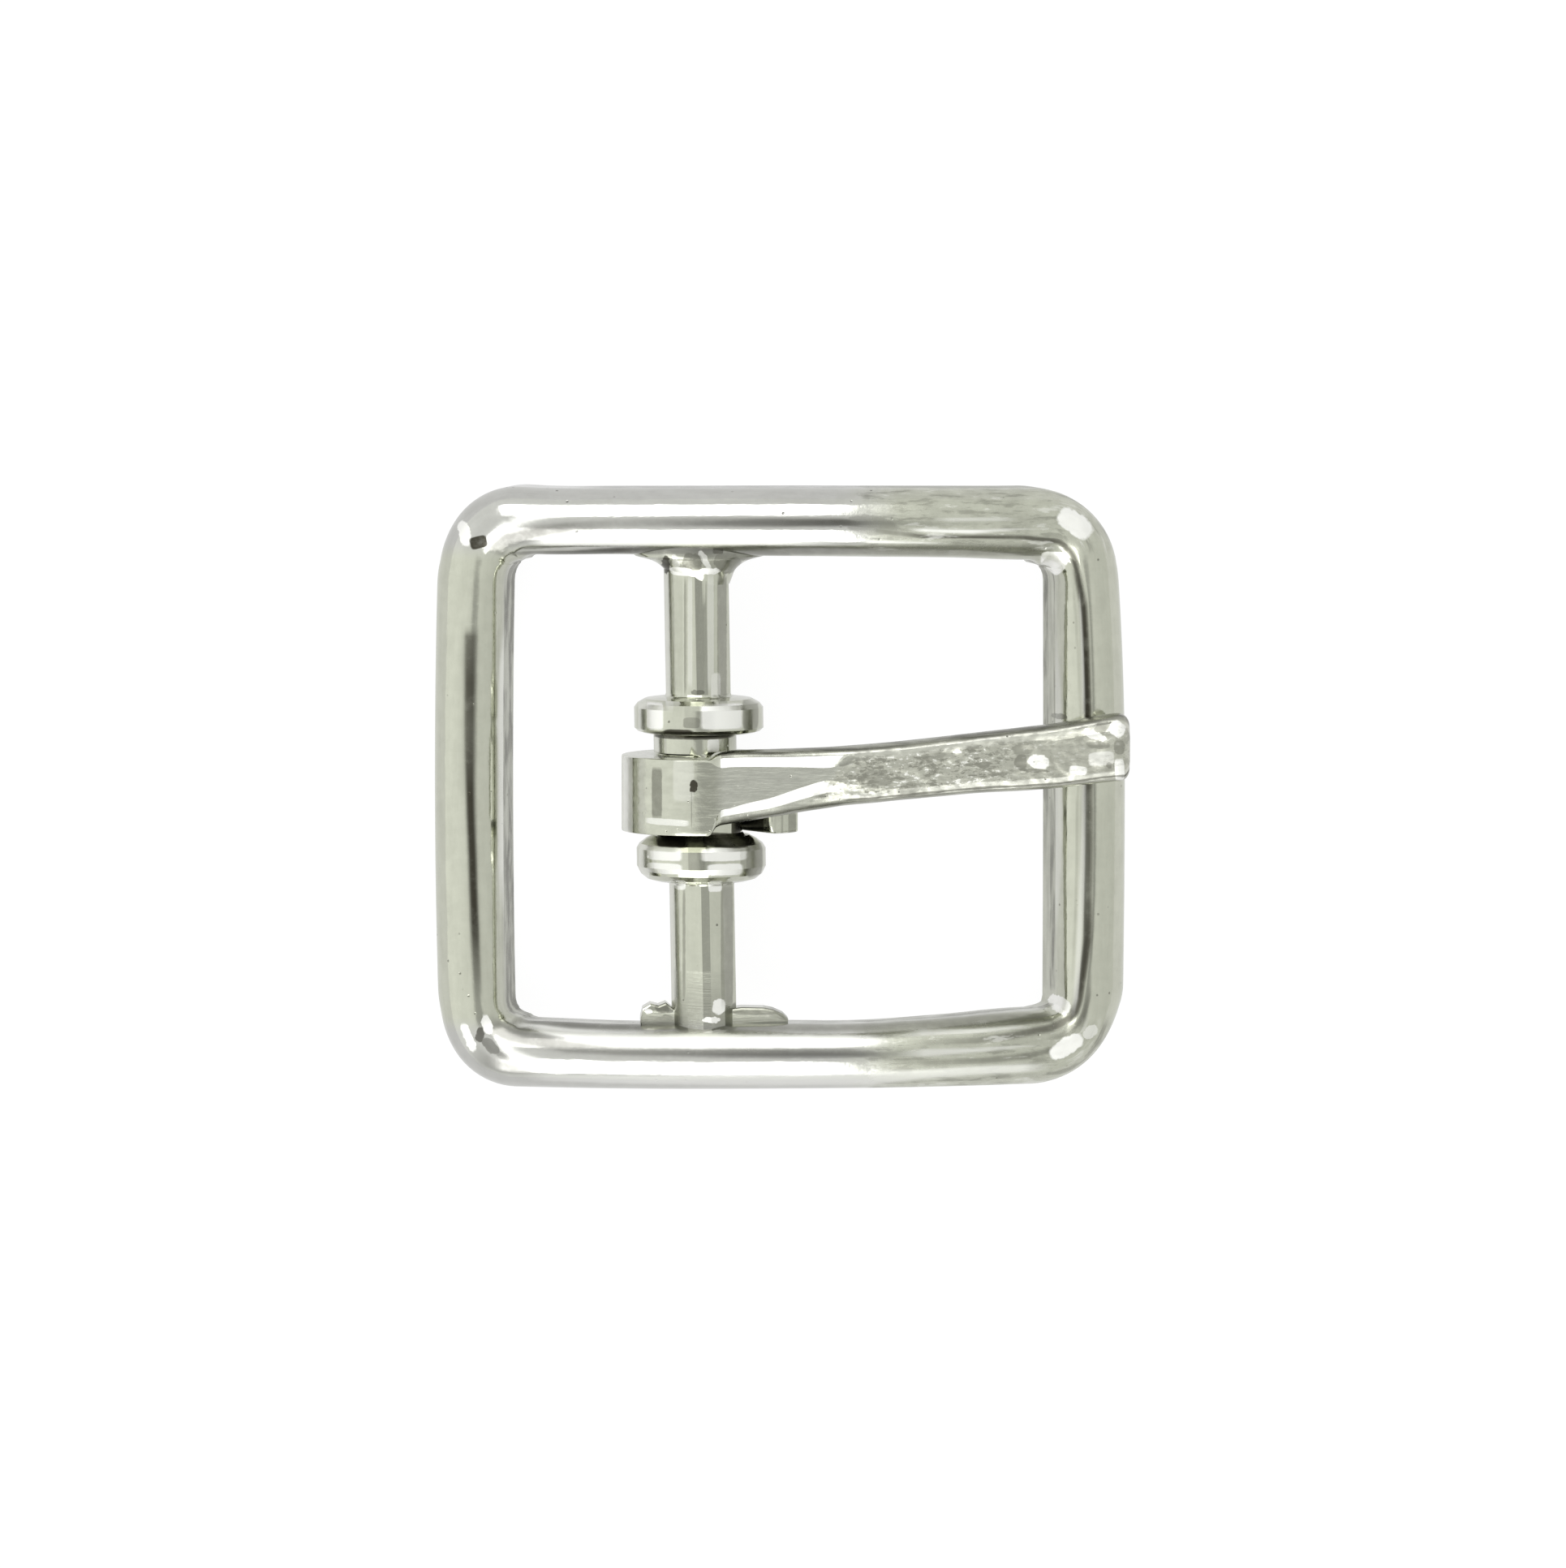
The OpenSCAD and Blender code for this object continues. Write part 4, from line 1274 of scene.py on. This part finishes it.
# Patches seen from above, in millimetres: painted highlights and reflections (bright), and painted shade,
# shadows and dark reflections (dark). Columns: X, Y, half length, half width, turn in degrees, squareness,
# strength
FRAME_PAINTED_HIGHLIGHTS = (
    (-12.93, 10.44, 0.24, 0.50, 12, 2.4, 1.0),
    (12.07, 10.83, 0.78, 0.42, -36, 3.2, 1.0),
    (11.24, 9.36, 0.54, 0.30, -4, 4.0, 1.0),
    (11.30, 9.04, 0.30, 0.34, 45, 4.0, 1.0),
    (-12.82, -10.25, 0.18, 0.60, 22, 3.4, 1.0),
    (-12.04, -9.72, 0.20, 0.42, 14, 2.4, 1.0),
    (11.75, -10.68, 0.74, 0.34, 30, 2.8, 1.0),
    (11.52, -9.02, 0.42, 0.32, -24, 2.4, 1.0),
    (12.75, -10.10, 0.34, 0.24, 40, 2.4, 0.6),
    (-2.56, -8.92, 0.26, 0.30, 0, 3.0, 1.0),
    (-2.87, -9.44, 0.36, 0.13, 0, 2.0, 1.0),
    (-5.45, -9.15, 0.16, 0.11, -10, 2.0, 0.9),
    (-2.80, 1.84, 0.24, 0.26, 0, 6.0, 1.0),
    (-4.12, 8.96, 0.42, 0.17, -4, 4.0, 0.95),
    (-2.90, 8.98, 0.42, 0.13, -2, 2.0, 0.95),
    (-3.14, 9.42, 0.44, 0.13, -62, 3.0, 0.7),
    (-4.33, 9.38, 0.13, 0.30, 14, 2.4, 0.4),
    (-3.74, 6.50, 0.09, 2.20, 0, 9.0, 0.3),
    (-2.90, 6.50, 0.13, 2.30, 0, 9.0, 0.32),
    (-2.69, 4.26, 0.20, 0.52, 0, 5.0, 0.5),
    (-4.15, -3.87, 0.22, 0.24, 0, 5.0, 0.9),
    (-2.72, -3.91, 0.28, 0.27, 0, 5.0, 0.95),
    (-5.20, 3.09, 0.33, 0.52, 0, 9.0, 0.95),
    (-2.48, 3.09, 0.84, 0.50, 0, 9.0, 0.95),
    (-4.84, -2.53, 0.70, 0.28, 0, 7.0, 0.9),
    (-4.83, -3.15, 0.70, 0.22, 0, 5.0, 0.85),
    (-2.39, -2.55, 0.92, 0.26, 0, 7.0, 0.95),
    (-2.35, -3.17, 0.72, 0.24, 0, 5.0, 0.95),
)
# Painted highlights along the shoulders of the bar and of the collars
FRAME_SHOULDER_HIGHLIGHTS = (
    (-5.69, 3.10, 0.16, 0.80, 0, 9.0, 0.4),
    (-5.62, -2.95, 0.20, 0.80, 0, 9.0, 0.4),
    (-4.60, 6.20, 0.16, 2.70, 0, 9.0, 0.4),
    (-4.42, -6.40, 0.18, 2.70, 0, 9.0, 0.4),
    (-5.02, 1.70, 0.16, 0.55, 0, 9.0, 0.4),
)
# Painted shade, painted shadows below the upper collar and the tongue's tip, and painted dark reflections
FRAME_PAINTED_SHADE = (
    (-12.37, 10.11, 0.35, 0.25, 14, 5.0, 1.0),
    (-12.35, -10.14, 0.17, 0.30, -12, 2.0, 0.8),
    (-11.92, -10.58, 0.46, 0.22, -40, 2.0, 0.6),
    (-11.42, -10.98, 0.34, 0.14, -24, 2.0, 0.4),
    (-4.72, 9.22, 0.17, 0.42, 4, 1.6, 0.95),
    (-4.42, 9.42, 0.26, 0.30, 0, 3.0, 0.35),
    (-3.64, 9.38, 0.42, 0.36, -16, 3.0, 0.72),
    (-3.40, 9.44, 1.60, 0.36, 0, 2.6, 0.4),
    (-2.60, 9.82, 0.22, 0.13, 0, 5.0, 0.8),
    (-2.20, 9.32, 0.60, 0.46, -12, 2.0, 0.62),
    (-0.90, 9.60, 1.40, 0.26, 0, 2.0, 0.55),
    (-3.40, 9.86, 2.60, 0.05, 0, 4.0, 0.6),
    (-4.24, 6.30, 0.20, 2.30, 0, 9.0, 0.12),
    (-3.94, 6.30, 0.05, 2.30, 0, 9.0, 0.38),
    (-3.36, 6.30, 0.20, 2.30, 0, 9.0, 0.1),
    (-2.42, 6.20, 0.20, 2.60, 0, 9.0, 0.42),
    (-3.99, -6.40, 0.055, 2.30, 0, 9.0, 0.42),
    (-2.22, -6.40, 0.26, 2.50, 0, 9.0, 0.42),
    (-1.28, 3.14, 0.34, 0.66, 0, 4.0, 0.42),
    (-3.72, 2.86, 0.34, 0.22, 0, 4.0, 0.45),
    (-3.70, 3.30, 0.30, 0.34, 0, 4.0, 0.12),
    (-1.12, -2.86, 0.36, 0.72, 0, 4.0, 0.55),
    (-1.85, -1.62, 0.20, 0.36, 0, 5.0, 0.92),
    (-5.42, -1.80, 0.34, 0.30, 0, 4.0, 0.35),
    (3.61, 10.89, 1.10, 0.40, -6, 2.0, 0.35),
    (11.49, 2.84, 0.30, 0.12, 0, 2.0, 0.6),
    (12.71, 2.94, 0.22, 0.12, 0, 2.0, 0.5),
    (-3.62, 2.28, 1.70, 0.17, 0, 6.0, 0.9),
    (-4.25, 2.36, 0.62, 0.22, 0, 4.0, 0.97),
    (-3.44, 4.01, 0.27, 0.10, 0, 2.4, 0.6),
    (-4.52, -1.98, 0.60, 0.30, 0, 7.0, 1.0),
    (-2.30, -2.02, 1.00, 0.26, -6, 4.0, 0.92),
    (-3.52, -1.98, 0.50, 0.24, 0, 4.0, 0.6),
    (-3.52, -2.30, 0.34, 1.00, 0, 7.0, 0.35),
    (-1.45, -2.75, 0.26, 0.60, 8, 2.4, 0.35),
    (-4.90, -9.62, 0.50, 0.28, 20, 2.2, 0.45),
    (-4.75, -8.98, 0.40, 0.26, 0, 2.4, 0.6),
    (-0.95, -9.05, 1.10, 0.26, 0, 4.0, 0.5),
)
# Painted highlights and reflections on the tongue
TONGUE_PAINTED_HIGHLIGHTS = (
    (13.73, 2.52, 0.34, 0.32, -40, 2.6, 1.0),
    (13.83, 0.83, 0.20, 0.45, 4, 5.0, 1.0),
    (12.87, 2.21, 0.42, 0.15, -14, 2.2, 0.95),
    (13.07, 1.30, 0.52, 0.28, 4, 5.0, 0.6),
    (12.12, 0.83, 0.36, 0.18, -8, 4.0, 0.85),
    (10.49, 1.20, 0.44, 0.29, -10, 2.2, 1.0),
    (7.16, 1.62, 0.18, 0.08, 0, 2.2, 0.9),
    (-4.71, -1.18, 0.84, 0.13, -2, 5.0, 0.6),
    (-4.06, 0.55, 0.42, 0.85, 0, 7.0, 0.22),
    (-6.34, -0.18, 0.24, 1.90, 0, 9.0, 0.8),
)
# Painted shade and dark reflections on the tongue
TONGUE_PAINTED_SHADE = (
    (9.90, 1.74, 0.46, 0.26, 10, 2.0, 0.4),
    (9.77, 1.19, 0.26, 0.32, 0, 2.0, 0.55),
    (10.30, 0.84, 0.62, 0.07, -4, 2.4, 0.6),
    (-5.14, 0.00, 0.20, 1.00, 0, 9.0, 0.55),
    (-3.66, 0.30, 0.15, 0.26, 0, 2.4, 1.0),
    (-3.74, -0.40, 0.025, 0.95, 0, 4.0, 0.35),
    (13.11, 2.60, 0.36, 0.22, 30, 2.4, 0.5),
    (12.92, 1.86, 0.50, 0.15, -6, 2.2, 0.45),
    (13.81, 1.75, 0.22, 0.30, 0, 3.0, 0.5),
    (13.40, 1.02, 0.12, 0.12, 0, 2.0, 0.6),
    (2.60, 1.28, 0.36, 0.16, 30, 2.0, 0.5),
    (1.90, 0.30, 0.95, 0.07, 34, 2.0, 0.35),
    (6.20, 1.45, 0.50, 0.22, 10, 2.0, 0.4),
    (3.90, 0.60, 0.60, 0.26, -20, 2.0, 0.4),
    (5.20, 0.15, 0.50, 0.22, 12, 2.0, 0.4),
)
# Painted shadow in bands across the tail, which lies below the shank
TAIL_PAINTED_SHADOW = (
    (-1.72, -1.60, 0.30, 0.60, 0, 9.0, 0.96),
    (-1.10, -1.60, 0.40, 0.60, 0, 9.0, 0.96),
    (-0.62, -1.60, 0.14, 0.60, 0, 9.0, 0.55),
    (-0.26, -1.60, 0.05, 0.60, 0, 9.0, 0.3),
    (0.04, -1.60, 0.05, 0.60, 0, 9.0, 0.3),
    (0.46, -1.60, 0.16, 0.60, 0, 9.0, 0.4),
)
# Patches from this squareness on keep straight sides; the others have ragged ones
SQUARE_FROM = 4
# How far the sides of straight and of ragged patches waver, in millimetres
STRAIGHT_WAVER, RAGGED_WAVER = 0.04, 0.20
# Lowest and full share of a face's turn upwards at which patches show on it
FACING_UP = (0.05, 0.30)
# How sharply the surface bends where edge wear starts and is full
EDGE_BENDS = {"Edge Start": 0.56, "Edge Full": 0.66}
# How much rougher dark and bright marks, painted shade and highlights among them, are than the metal round
# them
SPOT_ROUGHNESS = 0.22
# Fineness of the streaks and the mottling
FRAME_SCALES = {"Streak Scale": 2.6, "Mottle Scale": 1.5}
TONGUE_SCALES = {"Streak Scale": 3.2, "Mottle Scale": 2.1}
# Depth of the finishes' relief, in millimetres
FRAME_RELIEF, TONGUE_RELIEF = 0.012, 0.02


class Plating:
    """What both finishes share: place on the piece in millimetres, grain, patches of painted highlight and
    shade, and wear
    """

    def __init__(self, material, groups, grain_name, bright_rows, dark_rows, scales):
        material.use_nodes = True
        self.net = net = Net(material.node_tree)
        self.sockets = material.node_tree.nodes["Principled BSDF"].inputs
        self.groups = groups
        where = net.add("ShaderNodeTexCoord", {})
        self.place = net.scaled(where["Object"], 1 / MM)
        if grain_name:
            drawn_out = net.attribute(grain_name, "Vector")
        else:
            drawn_out = net.scaled(self.place, (1 / GRAIN_STRETCH, 1.0, 1.0))
        self.grain = net.group(groups["grain"], {"Place": self.place, "Grain": drawn_out, **scales})
        self.facing = net.fade(net.axes(where["Normal"])["Z"], *FACING_UP)
        shake = net.noise(self.place, scale=4.5, detail=4.0, output="Color")
        waver = net.vector("SUBTRACT", shake, (0.5, 0.5, 0.5))
        self.straight = net.vector("ADD", self.place, net.scaled(waver, STRAIGHT_WAVER))
        self.ragged = net.vector("ADD", self.place, net.scaled(waver, RAGGED_WAVER))
        self.bright = self.patches(bright_rows)
        self.dark = self.patches(dark_rows)
        self.wear = net.group(groups["wear"], {"Place": self.place, **EDGE_BENDS})

    def patches(self, rows):
        """The strongest of a table's patches at each point that faces up"""
        net, mask = self.net, 0.0
        for x, y, half_x, half_y, turn, squareness, strength in rows:
            inputs = {
                "Place": self.straight if squareness >= SQUARE_FROM else self.ragged,
                "Centre": (x, y, 0),
                "Half Size": (half_x, half_y, 1),
                "Turn": math.radians(turn),
                "Squareness": squareness,
            }
            mask = net.most(mask, net.times(net.group(self.groups["patch"], inputs)["Mask"], strength))
        return net.times(mask, self.facing)

    def shade(self, tone, darkness, brightness, roughness, relief, colours):
        """Feeds the shader from the metal's tone, its masks of dark and bright with painted shade and
        highlights among them, its roughness and the depth of its relief
        """
        net, sockets = self.net, self.sockets
        broken = net.fade(self.grain["Mottle"], 0.30, 0.52, start=0.88)
        darkness = net.times(net.calc("MINIMUM", darkness, 1.0), broken)
        # Painted shade and dark marks mix towards the tarnish colour, painted highlights and bright marks
        # towards the burnish colour
        tone = net.mix(darkness, tone, (*colours.tarnish_and_shade, 1))
        tone = net.mix(brightness, tone, (*colours.burnish_and_highlight, 1))
        net.feed(tone, sockets["Base Color"])
        spots = (net.times(mask, SPOT_ROUGHNESS) for mask in (darkness, brightness))
        net.feed(net.plus(roughness, *spots), sockets["Roughness"])
        sockets["Metallic"].default_value = 1.0
        bump = net.add("ShaderNodeBump", {"Distance": relief * MM, "Height": self.grain["Height"]})
        net.feed(bump[0], sockets["Normal"])


# Where the finish of the long rails changes, in millimetres: their inner side in Y, then in X the end of the
# clean left half and the start of the dull right end
LONG_RAIL_Y = (9.3, 10.2)
CLEAN_X = (6.3, 3.0)
DULL_X = (4.1, 4.8)


def plate_frame(groups, colours):
    """Bright nickel with streaks along the rails, dull to the right, with painted dark reflection lines,
    painted shade on the inner walls and painted highlights
    """
    material = bpy.data.materials["polished_nickel"]
    metal = Plating(material, groups, "grain", FRAME_PAINTED_HIGHLIGHTS, FRAME_PAINTED_SHADE, FRAME_SCALES)
    net, grain = metal.net, metal.grain
    mottling = net.fade(grain["Mottle"], 0.32, 0.68)
    streaks = net.fade(grain["Streak"], 0.30, 0.70)
    place = net.axes(metal.place)
    long_rail = net.fade(net.calc("ABSOLUTE", place["Y"]), *LONG_RAIL_Y)
    across = net.plus(place["X"], net.times(grain["Mottle"], 2.0))
    clean = net.times(long_rail, net.fade(across, *CLEAN_X))
    dull = net.times(long_rail, net.fade(across, *DULL_X))

    tone = net.mix(clean, (*colours.nickel, 1), (*colours.clean_nickel, 1))
    depth = net.plus(0.13, net.times(dull, 0.14))
    shade = net.times(net.plus(net.times(mottling, 0.5), net.times(streaks, 0.5)), depth)
    tone = net.mix(shade, tone, (*colours.tarnish_and_shade, 1))

    # Smudges and glints of the dull ends, drawn out along the rails
    flow = net.scaled(net.attribute("grain", "Vector"), (1.5, 1.5, 1.0))
    flecks = net.noise(flow, scale=3.0, detail=6.0, roughness=0.62)
    smudges = net.times(net.fade(flecks, 0.50, 0.62), dull, 0.36)
    glints = net.times(net.fade(flecks, 0.42, 0.34), dull, 0.35)
    # Painted shade on the walls that face the windows, broken by the streaks
    wall = net.times(net.attribute("wall"), net.spread(streaks, 0.25, 0.65))
    pits = net.times(grain["Pits"], 0.7)
    hollows = net.times(metal.wear["Hollows"], 0.35)
    # Darkness: painted shade, shadows and dark reflections, with smudges, pits and hollows
    darkness = net.most(net.attribute("painted_shade"), wall, metal.dark, smudges, pits, hollows)
    rubbed = net.times(metal.wear["Edges"], net.attribute("on_bar"), 0.3)
    # Brightness: painted highlights and reflections, with rubbed edges and glints
    shoulder_highlights = metal.patches(FRAME_SHOULDER_HIGHLIGHTS)
    brightness = net.most(metal.bright, rubbed, glints, net.attribute("painted_highlight"), shoulder_highlights)
    brightness = net.times(brightness, net.minus(1.0, net.times(metal.dark, 0.8)))
    roughness = net.plus(net.fade(grain["Mottle"], 0.3, 0.7, 0.08, 0.14), net.times(dull, 0.10))
    metal.shade(tone, darkness, brightness, roughness, FRAME_RELIEF, colours)


# Where the finish of the tongue changes, in millimetres: the slanting edge of its cast skin, the start of its
# smooth flat with its painted highlight in X, where its spots get sparser in X, where the painted shade and
# highlights along its sides start from the bar's axis, and the level below which the tail gets painted shadow
SKIN_EDGE = (1.9, 2.3)
FLAT_X = (-2.9, -2.3)
SPARSE_X = (11.0, 8.0)
SIDES_FROM = (5.3, 5.8)
TAIL_LEVEL = (4.7, 4.3)
# Clear of the rough skin, in millimetres from the shank's upper and lower side
UPPER_CLEAR, LOWER_CLEAR = (0.30, 0.56), (0.34, 0.46)


def plate_tongue(groups, colours):
    """Nickel on a smooth bent eye that turns rough and mottled along the cast shank, with painted highlights
    and shade
    """
    material = bpy.data.materials["cast_nickel"]
    metal = Plating(material, groups, None, TONGUE_PAINTED_HIGHLIGHTS, TONGUE_PAINTED_SHADE, TONGUE_SCALES)
    net, grain = metal.net, metal.grain
    mottling = net.fade(grain["Mottle"], 0.36, 0.62)
    streaks = net.fade(grain["Streak"], 0.30, 0.70)
    place = net.axes(metal.place)
    top, flank = net.attribute("cast_top"), net.attribute("flank")
    wavy = net.times(net.minus(grain["Streak"], 0.5), 0.16)
    gaps = net.axes(net.attribute("side_gaps", "Vector"))
    high_gap, low_gap = net.plus(gaps["X"], wavy), net.plus(gaps["Y"], wavy)
    far = net.fade(gaps["Z"], *SIDES_FROM)

    edge = net.plus(place["X"], net.times(place["Y"], -0.9), net.times(grain["Mottle"], 1.2))
    skin = net.times(net.fade(edge, *SKIN_EDGE), top)
    between_sides = net.times(net.fade(high_gap, *UPPER_CLEAR), net.fade(low_gap, *LOWER_CLEAR))
    rough = net.times(skin, between_sides)
    tone = net.mix(skin, (*colours.nickel, 1), (*colours.worn_nickel, 1))
    # Streaks and mottling, and painted shade on the flanks
    shade = net.plus(net.times(streaks, 0.10), net.times(mottling, 0.06), net.times(streaks, flank, 0.45))
    tone = net.mix(shade, tone, (*colours.tarnish_and_shade, 1))

    # Spots and flecks of the cast skin, drawn out along the shank
    streaky = net.scaled(metal.place, (0.55, 1.25, 1.0))
    fine = net.noise(streaky, scale=5.2, detail=7.0, roughness=0.70)
    coarse = net.noise(streaky, scale=1.7, detail=3.0)
    clustered = net.plus(fine, net.times(coarse, 0.5))
    sparse = net.fade(place["X"], *SPARSE_X, start=0.45)
    spots = net.times(net.fade(clustered, 0.76, 0.66), sparse, rough, 0.6)
    flecks = net.times(net.fade(fine, 0.56, 0.63), sparse, rough, 0.85)
    pits = net.times(grain["Pits"], 0.75)

    # Painted shade along the edges of both sides, with a painted highlight line further in from where the
    # cast top starts
    upper_dark = net.times(net.fade(high_gap, 0.28, 0.18), net.spread(streaks, 0.40, 0.62))
    lower_dark = net.times(net.fade(low_gap, 0.32, 0.24), net.spread(far, 0.45, 0.22))
    line = net.times(net.fade(net.apart(low_gap, 0.26), 0.06, 0.03, stop=0.7), far)
    # Painted shadow on the tail where it lies below the shank
    tail = net.times(metal.patches(TAIL_PAINTED_SHADOW), net.fade(place["Z"], *TAIL_LEVEL))
    darkness = net.most(metal.dark, pits, spots, upper_dark, lower_dark, line, tail)

    upper_light = net.fade(net.apart(high_gap, 0.44), 0.16, 0.10, stop=0.2)
    lower_light = net.fade(net.apart(low_gap, 0.42), 0.11, 0.06, stop=0.3)
    side_light = net.times(net.most(upper_light, lower_light), far)
    # Painted highlight on the smooth flat
    flat = net.times(net.fade(place["X"], *FLAT_X), top, net.spread(rough, 0.26, 0.10))
    # Painted highlights on the bevels
    bevel_highlights = net.fade(net.attribute("bevel"), 0.55, 0.85)
    edges = net.times(metal.wear["Edges"], 0.4)
    brightness = net.most(metal.bright, edges, flat, side_light, flecks, bevel_highlights)
    brightness = net.times(brightness, net.minus(1.0, darkness))
    roughness = net.plus(net.fade(grain["Mottle"], 0.3, 0.7, 0.12, 0.18), net.times(skin, 0.14))
    metal.shade(tone, darkness, brightness, roughness, TONGUE_RELIEF, colours)


class BUCKLE_OT_finish(bpy.types.Operator):
    """Plates the frame and the tongue"""

    bl_idname = "buckle.finish"
    bl_label = "Plate Metal"

    def execute(self, context):
        groups = {"grain": grain_group(), "patch": patch_group(), "wear": wear_group()}
        plate_frame(groups, context.scene.buckle_finish)
        plate_tongue(groups, context.scene.buckle_finish)
        return {"FINISHED"}


# Stage

# Softboxes as the buckle sees them, in degrees from straight up. Columns: name, lowest and highest angle
# towards +X, lowest and highest angle towards +Y, brightness
SOFTBOX_ROWS = (
    ("softbox_up", -34, 9.5, 27, 66, 2.1),
    ("softbox_down", -34, 9.5, -68, -21, 2.1),
)
SOFTBOX_DISTANCE = 1.2
# The dim patch overhead: its direction, its spread along each axis, and where it ends as a share of that
OVERHEAD_DIRECTION = (0.11, 0.02, 0.99)
OVERHEAD_SPREAD = (0.36, 0.24, 0.6)
OVERHEAD_EDGE = (0.45, 1.05)
SURROUND_TINT = (0.99, 1.0, 0.97, 1)
# What the camera aims at, in millimetres
AIM = (0.117, 0.117, 3.2)
FLOOR_HALF = 2


def softbox(name, x_low, x_high, y_low, y_high, radiance):
    """A flat light square to its middle direction, invisible to the camera"""
    x_mid, y_mid = math.radians(x_low + x_high) / 2, math.radians(y_low + y_high) / 2
    turn = Matrix.Rotation(-y_mid, 3, "X") @ Matrix.Rotation(x_mid, 3, "Y")
    data = bpy.data.lights.new(name, "AREA")
    data.shape = "RECTANGLE"
    data.size = 2 * SOFTBOX_DISTANCE * math.tan(math.radians(x_high - x_low) / 2)
    data.size_y = 2 * SOFTBOX_DISTANCE * math.tan(math.radians(y_high - y_low) / 2)
    data.energy = radiance * math.pi * data.size * data.size_y
    lamp = add_object(name, data)
    lamp.location = turn @ Vector((0, 0, SOFTBOX_DISTANCE))
    lamp.rotation_euler = turn.to_euler()
    lamp.visible_camera = False


def surround(tree, cfg):
    """A pale surround, brighter towards -X, with one dim patch overhead"""
    net = Net(tree)
    where = net.add("ShaderNodeTexCoord", {})["Generated"]
    level = net.minus(cfg.surround_level, net.times(net.axes(where)["X"], cfg.surround_slant))
    offset = net.vector("SUBTRACT", where, OVERHEAD_DIRECTION)
    reach = net.vector("LENGTH", net.vector("DIVIDE", offset, OVERHEAD_SPREAD))
    light = net.times(level, net.fade(reach, *OVERHEAD_EDGE, start=cfg.overhead_share))
    net.feed(net.mix(1.0, SURROUND_TINT, light, "MULTIPLY"), tree.nodes["Background"].inputs["Color"])


def pale_floor(cfg):
    """A floor like a lit table: plain white to the camera and softer in reflections"""
    pale = bpy.data.materials.new("pale_floor")
    pale.use_nodes = True
    net = Net(pale.node_tree)
    sockets = pale.node_tree.nodes["Principled BSDF"].inputs
    sockets["Base Color"].default_value = (0.10, 0.10, 0.10, 1)
    sockets["Roughness"].default_value = 1.0
    sockets["Specular IOR Level"].default_value = 0.0
    sockets["Emission Color"].default_value = (1, 1, 1, 1)
    seen = net.add("ShaderNodeLightPath", {})["Is Camera Ray"]
    net.feed(net.spread(seen, cfg.floor_reflected, cfg.floor_glow), sockets["Emission Strength"])
    return pale


def photo_camera(cfg):
    """A camera above the buckle, leaning as the photograph's does"""
    data = bpy.data.cameras.new("camera")
    data.sensor_width = 36.0
    data.lens = data.sensor_width * cfg.camera_distance / cfg.frame_height
    data.clip_start, data.clip_end = 0.01, 10
    camera = add_object("camera", data)
    back = Vector((-math.tan(cfg.lean_left), math.tan(cfg.lean_up), 1)).normalized()
    side = Vector((0, 1, 0)).cross(back).normalized()
    camera.location = Vector(AIM) * MM + back * cfg.camera_distance
    camera.rotation_mode = "QUATERNION"
    camera.rotation_quaternion = Matrix((side, back.cross(side), back)).transposed().to_quaternion()
    return camera


class BUCKLE_OT_stage(bpy.types.Operator):
    """Lays the floor and sets the lights, the surround and the camera"""

    bl_idname = "buckle.stage"
    bl_label = "Set Stage"

    def execute(self, context):
        scene, half = context.scene, FLOOR_HALF
        cfg = scene.buckle_stage
        corners = [(-half, -half, 0), (half, -half, 0), (half, half, 0), (-half, half, 0)]
        floor = mesh_object("floor", corners, [(0, 1, 2, 3)])
        floor.data.materials.append(pale_floor(cfg))
        scene.world = bpy.data.worlds.new("studio")
        scene.world.use_nodes = True
        surround(scene.world.node_tree, cfg)
        for row in SOFTBOX_ROWS:
            softbox(*row)
        scene.camera = photo_camera(cfg)
        scene.view_settings.view_transform = "Standard"
        return {"FINISHED"}


class BUCKLE_PT_panel(bpy.types.Panel):
    """Lists the buckle's steps and sizes"""

    bl_idname = "BUCKLE_PT_panel"
    bl_label = "Center Bar Buckle"
    bl_space_type = "VIEW_3D"
    bl_region_type = "UI"
    bl_category = "Buckle"

    def draw(self, context):
        column = self.layout.column()
        for operator in OPERATORS:
            column.operator(operator.bl_idname)
        for name, _ in SETTINGS:
            settings = getattr(context.scene, name)
            box = self.layout.box()
            for key in settings.__annotations__:
                box.prop(settings, key)


OPERATORS = (BUCKLE_OT_frame, BUCKLE_OT_tongue, BUCKLE_OT_finish, BUCKLE_OT_stage)
SETTINGS = (
    ("buckle_frame", BuckleFrameSettings),
    ("buckle_bar", BuckleBarSettings),
    ("buckle_tongue", BuckleTongueSettings),
    ("buckle_finish", BuckleFinishSettings),
    ("buckle_stage", BuckleStageSettings),
)


def register():
    for name, group in SETTINGS:
        bpy.utils.register_class(group)
        setattr(bpy.types.Scene, name, bpy.props.PointerProperty(type=group))
    for cls in (*OPERATORS, BUCKLE_PT_panel):
        bpy.utils.register_class(cls)


def unregister():
    for cls in (BUCKLE_PT_panel, *reversed(OPERATORS)):
        bpy.utils.unregister_class(cls)
    for name, group in reversed(SETTINGS):
        delattr(bpy.types.Scene, name)
        bpy.utils.unregister_class(group)


def main():
    register()
    bpy.ops.buckle.frame()
    bpy.ops.buckle.tongue()
    bpy.ops.buckle.finish()
    bpy.ops.buckle.stage()


if __name__ == "__main__":
    main()
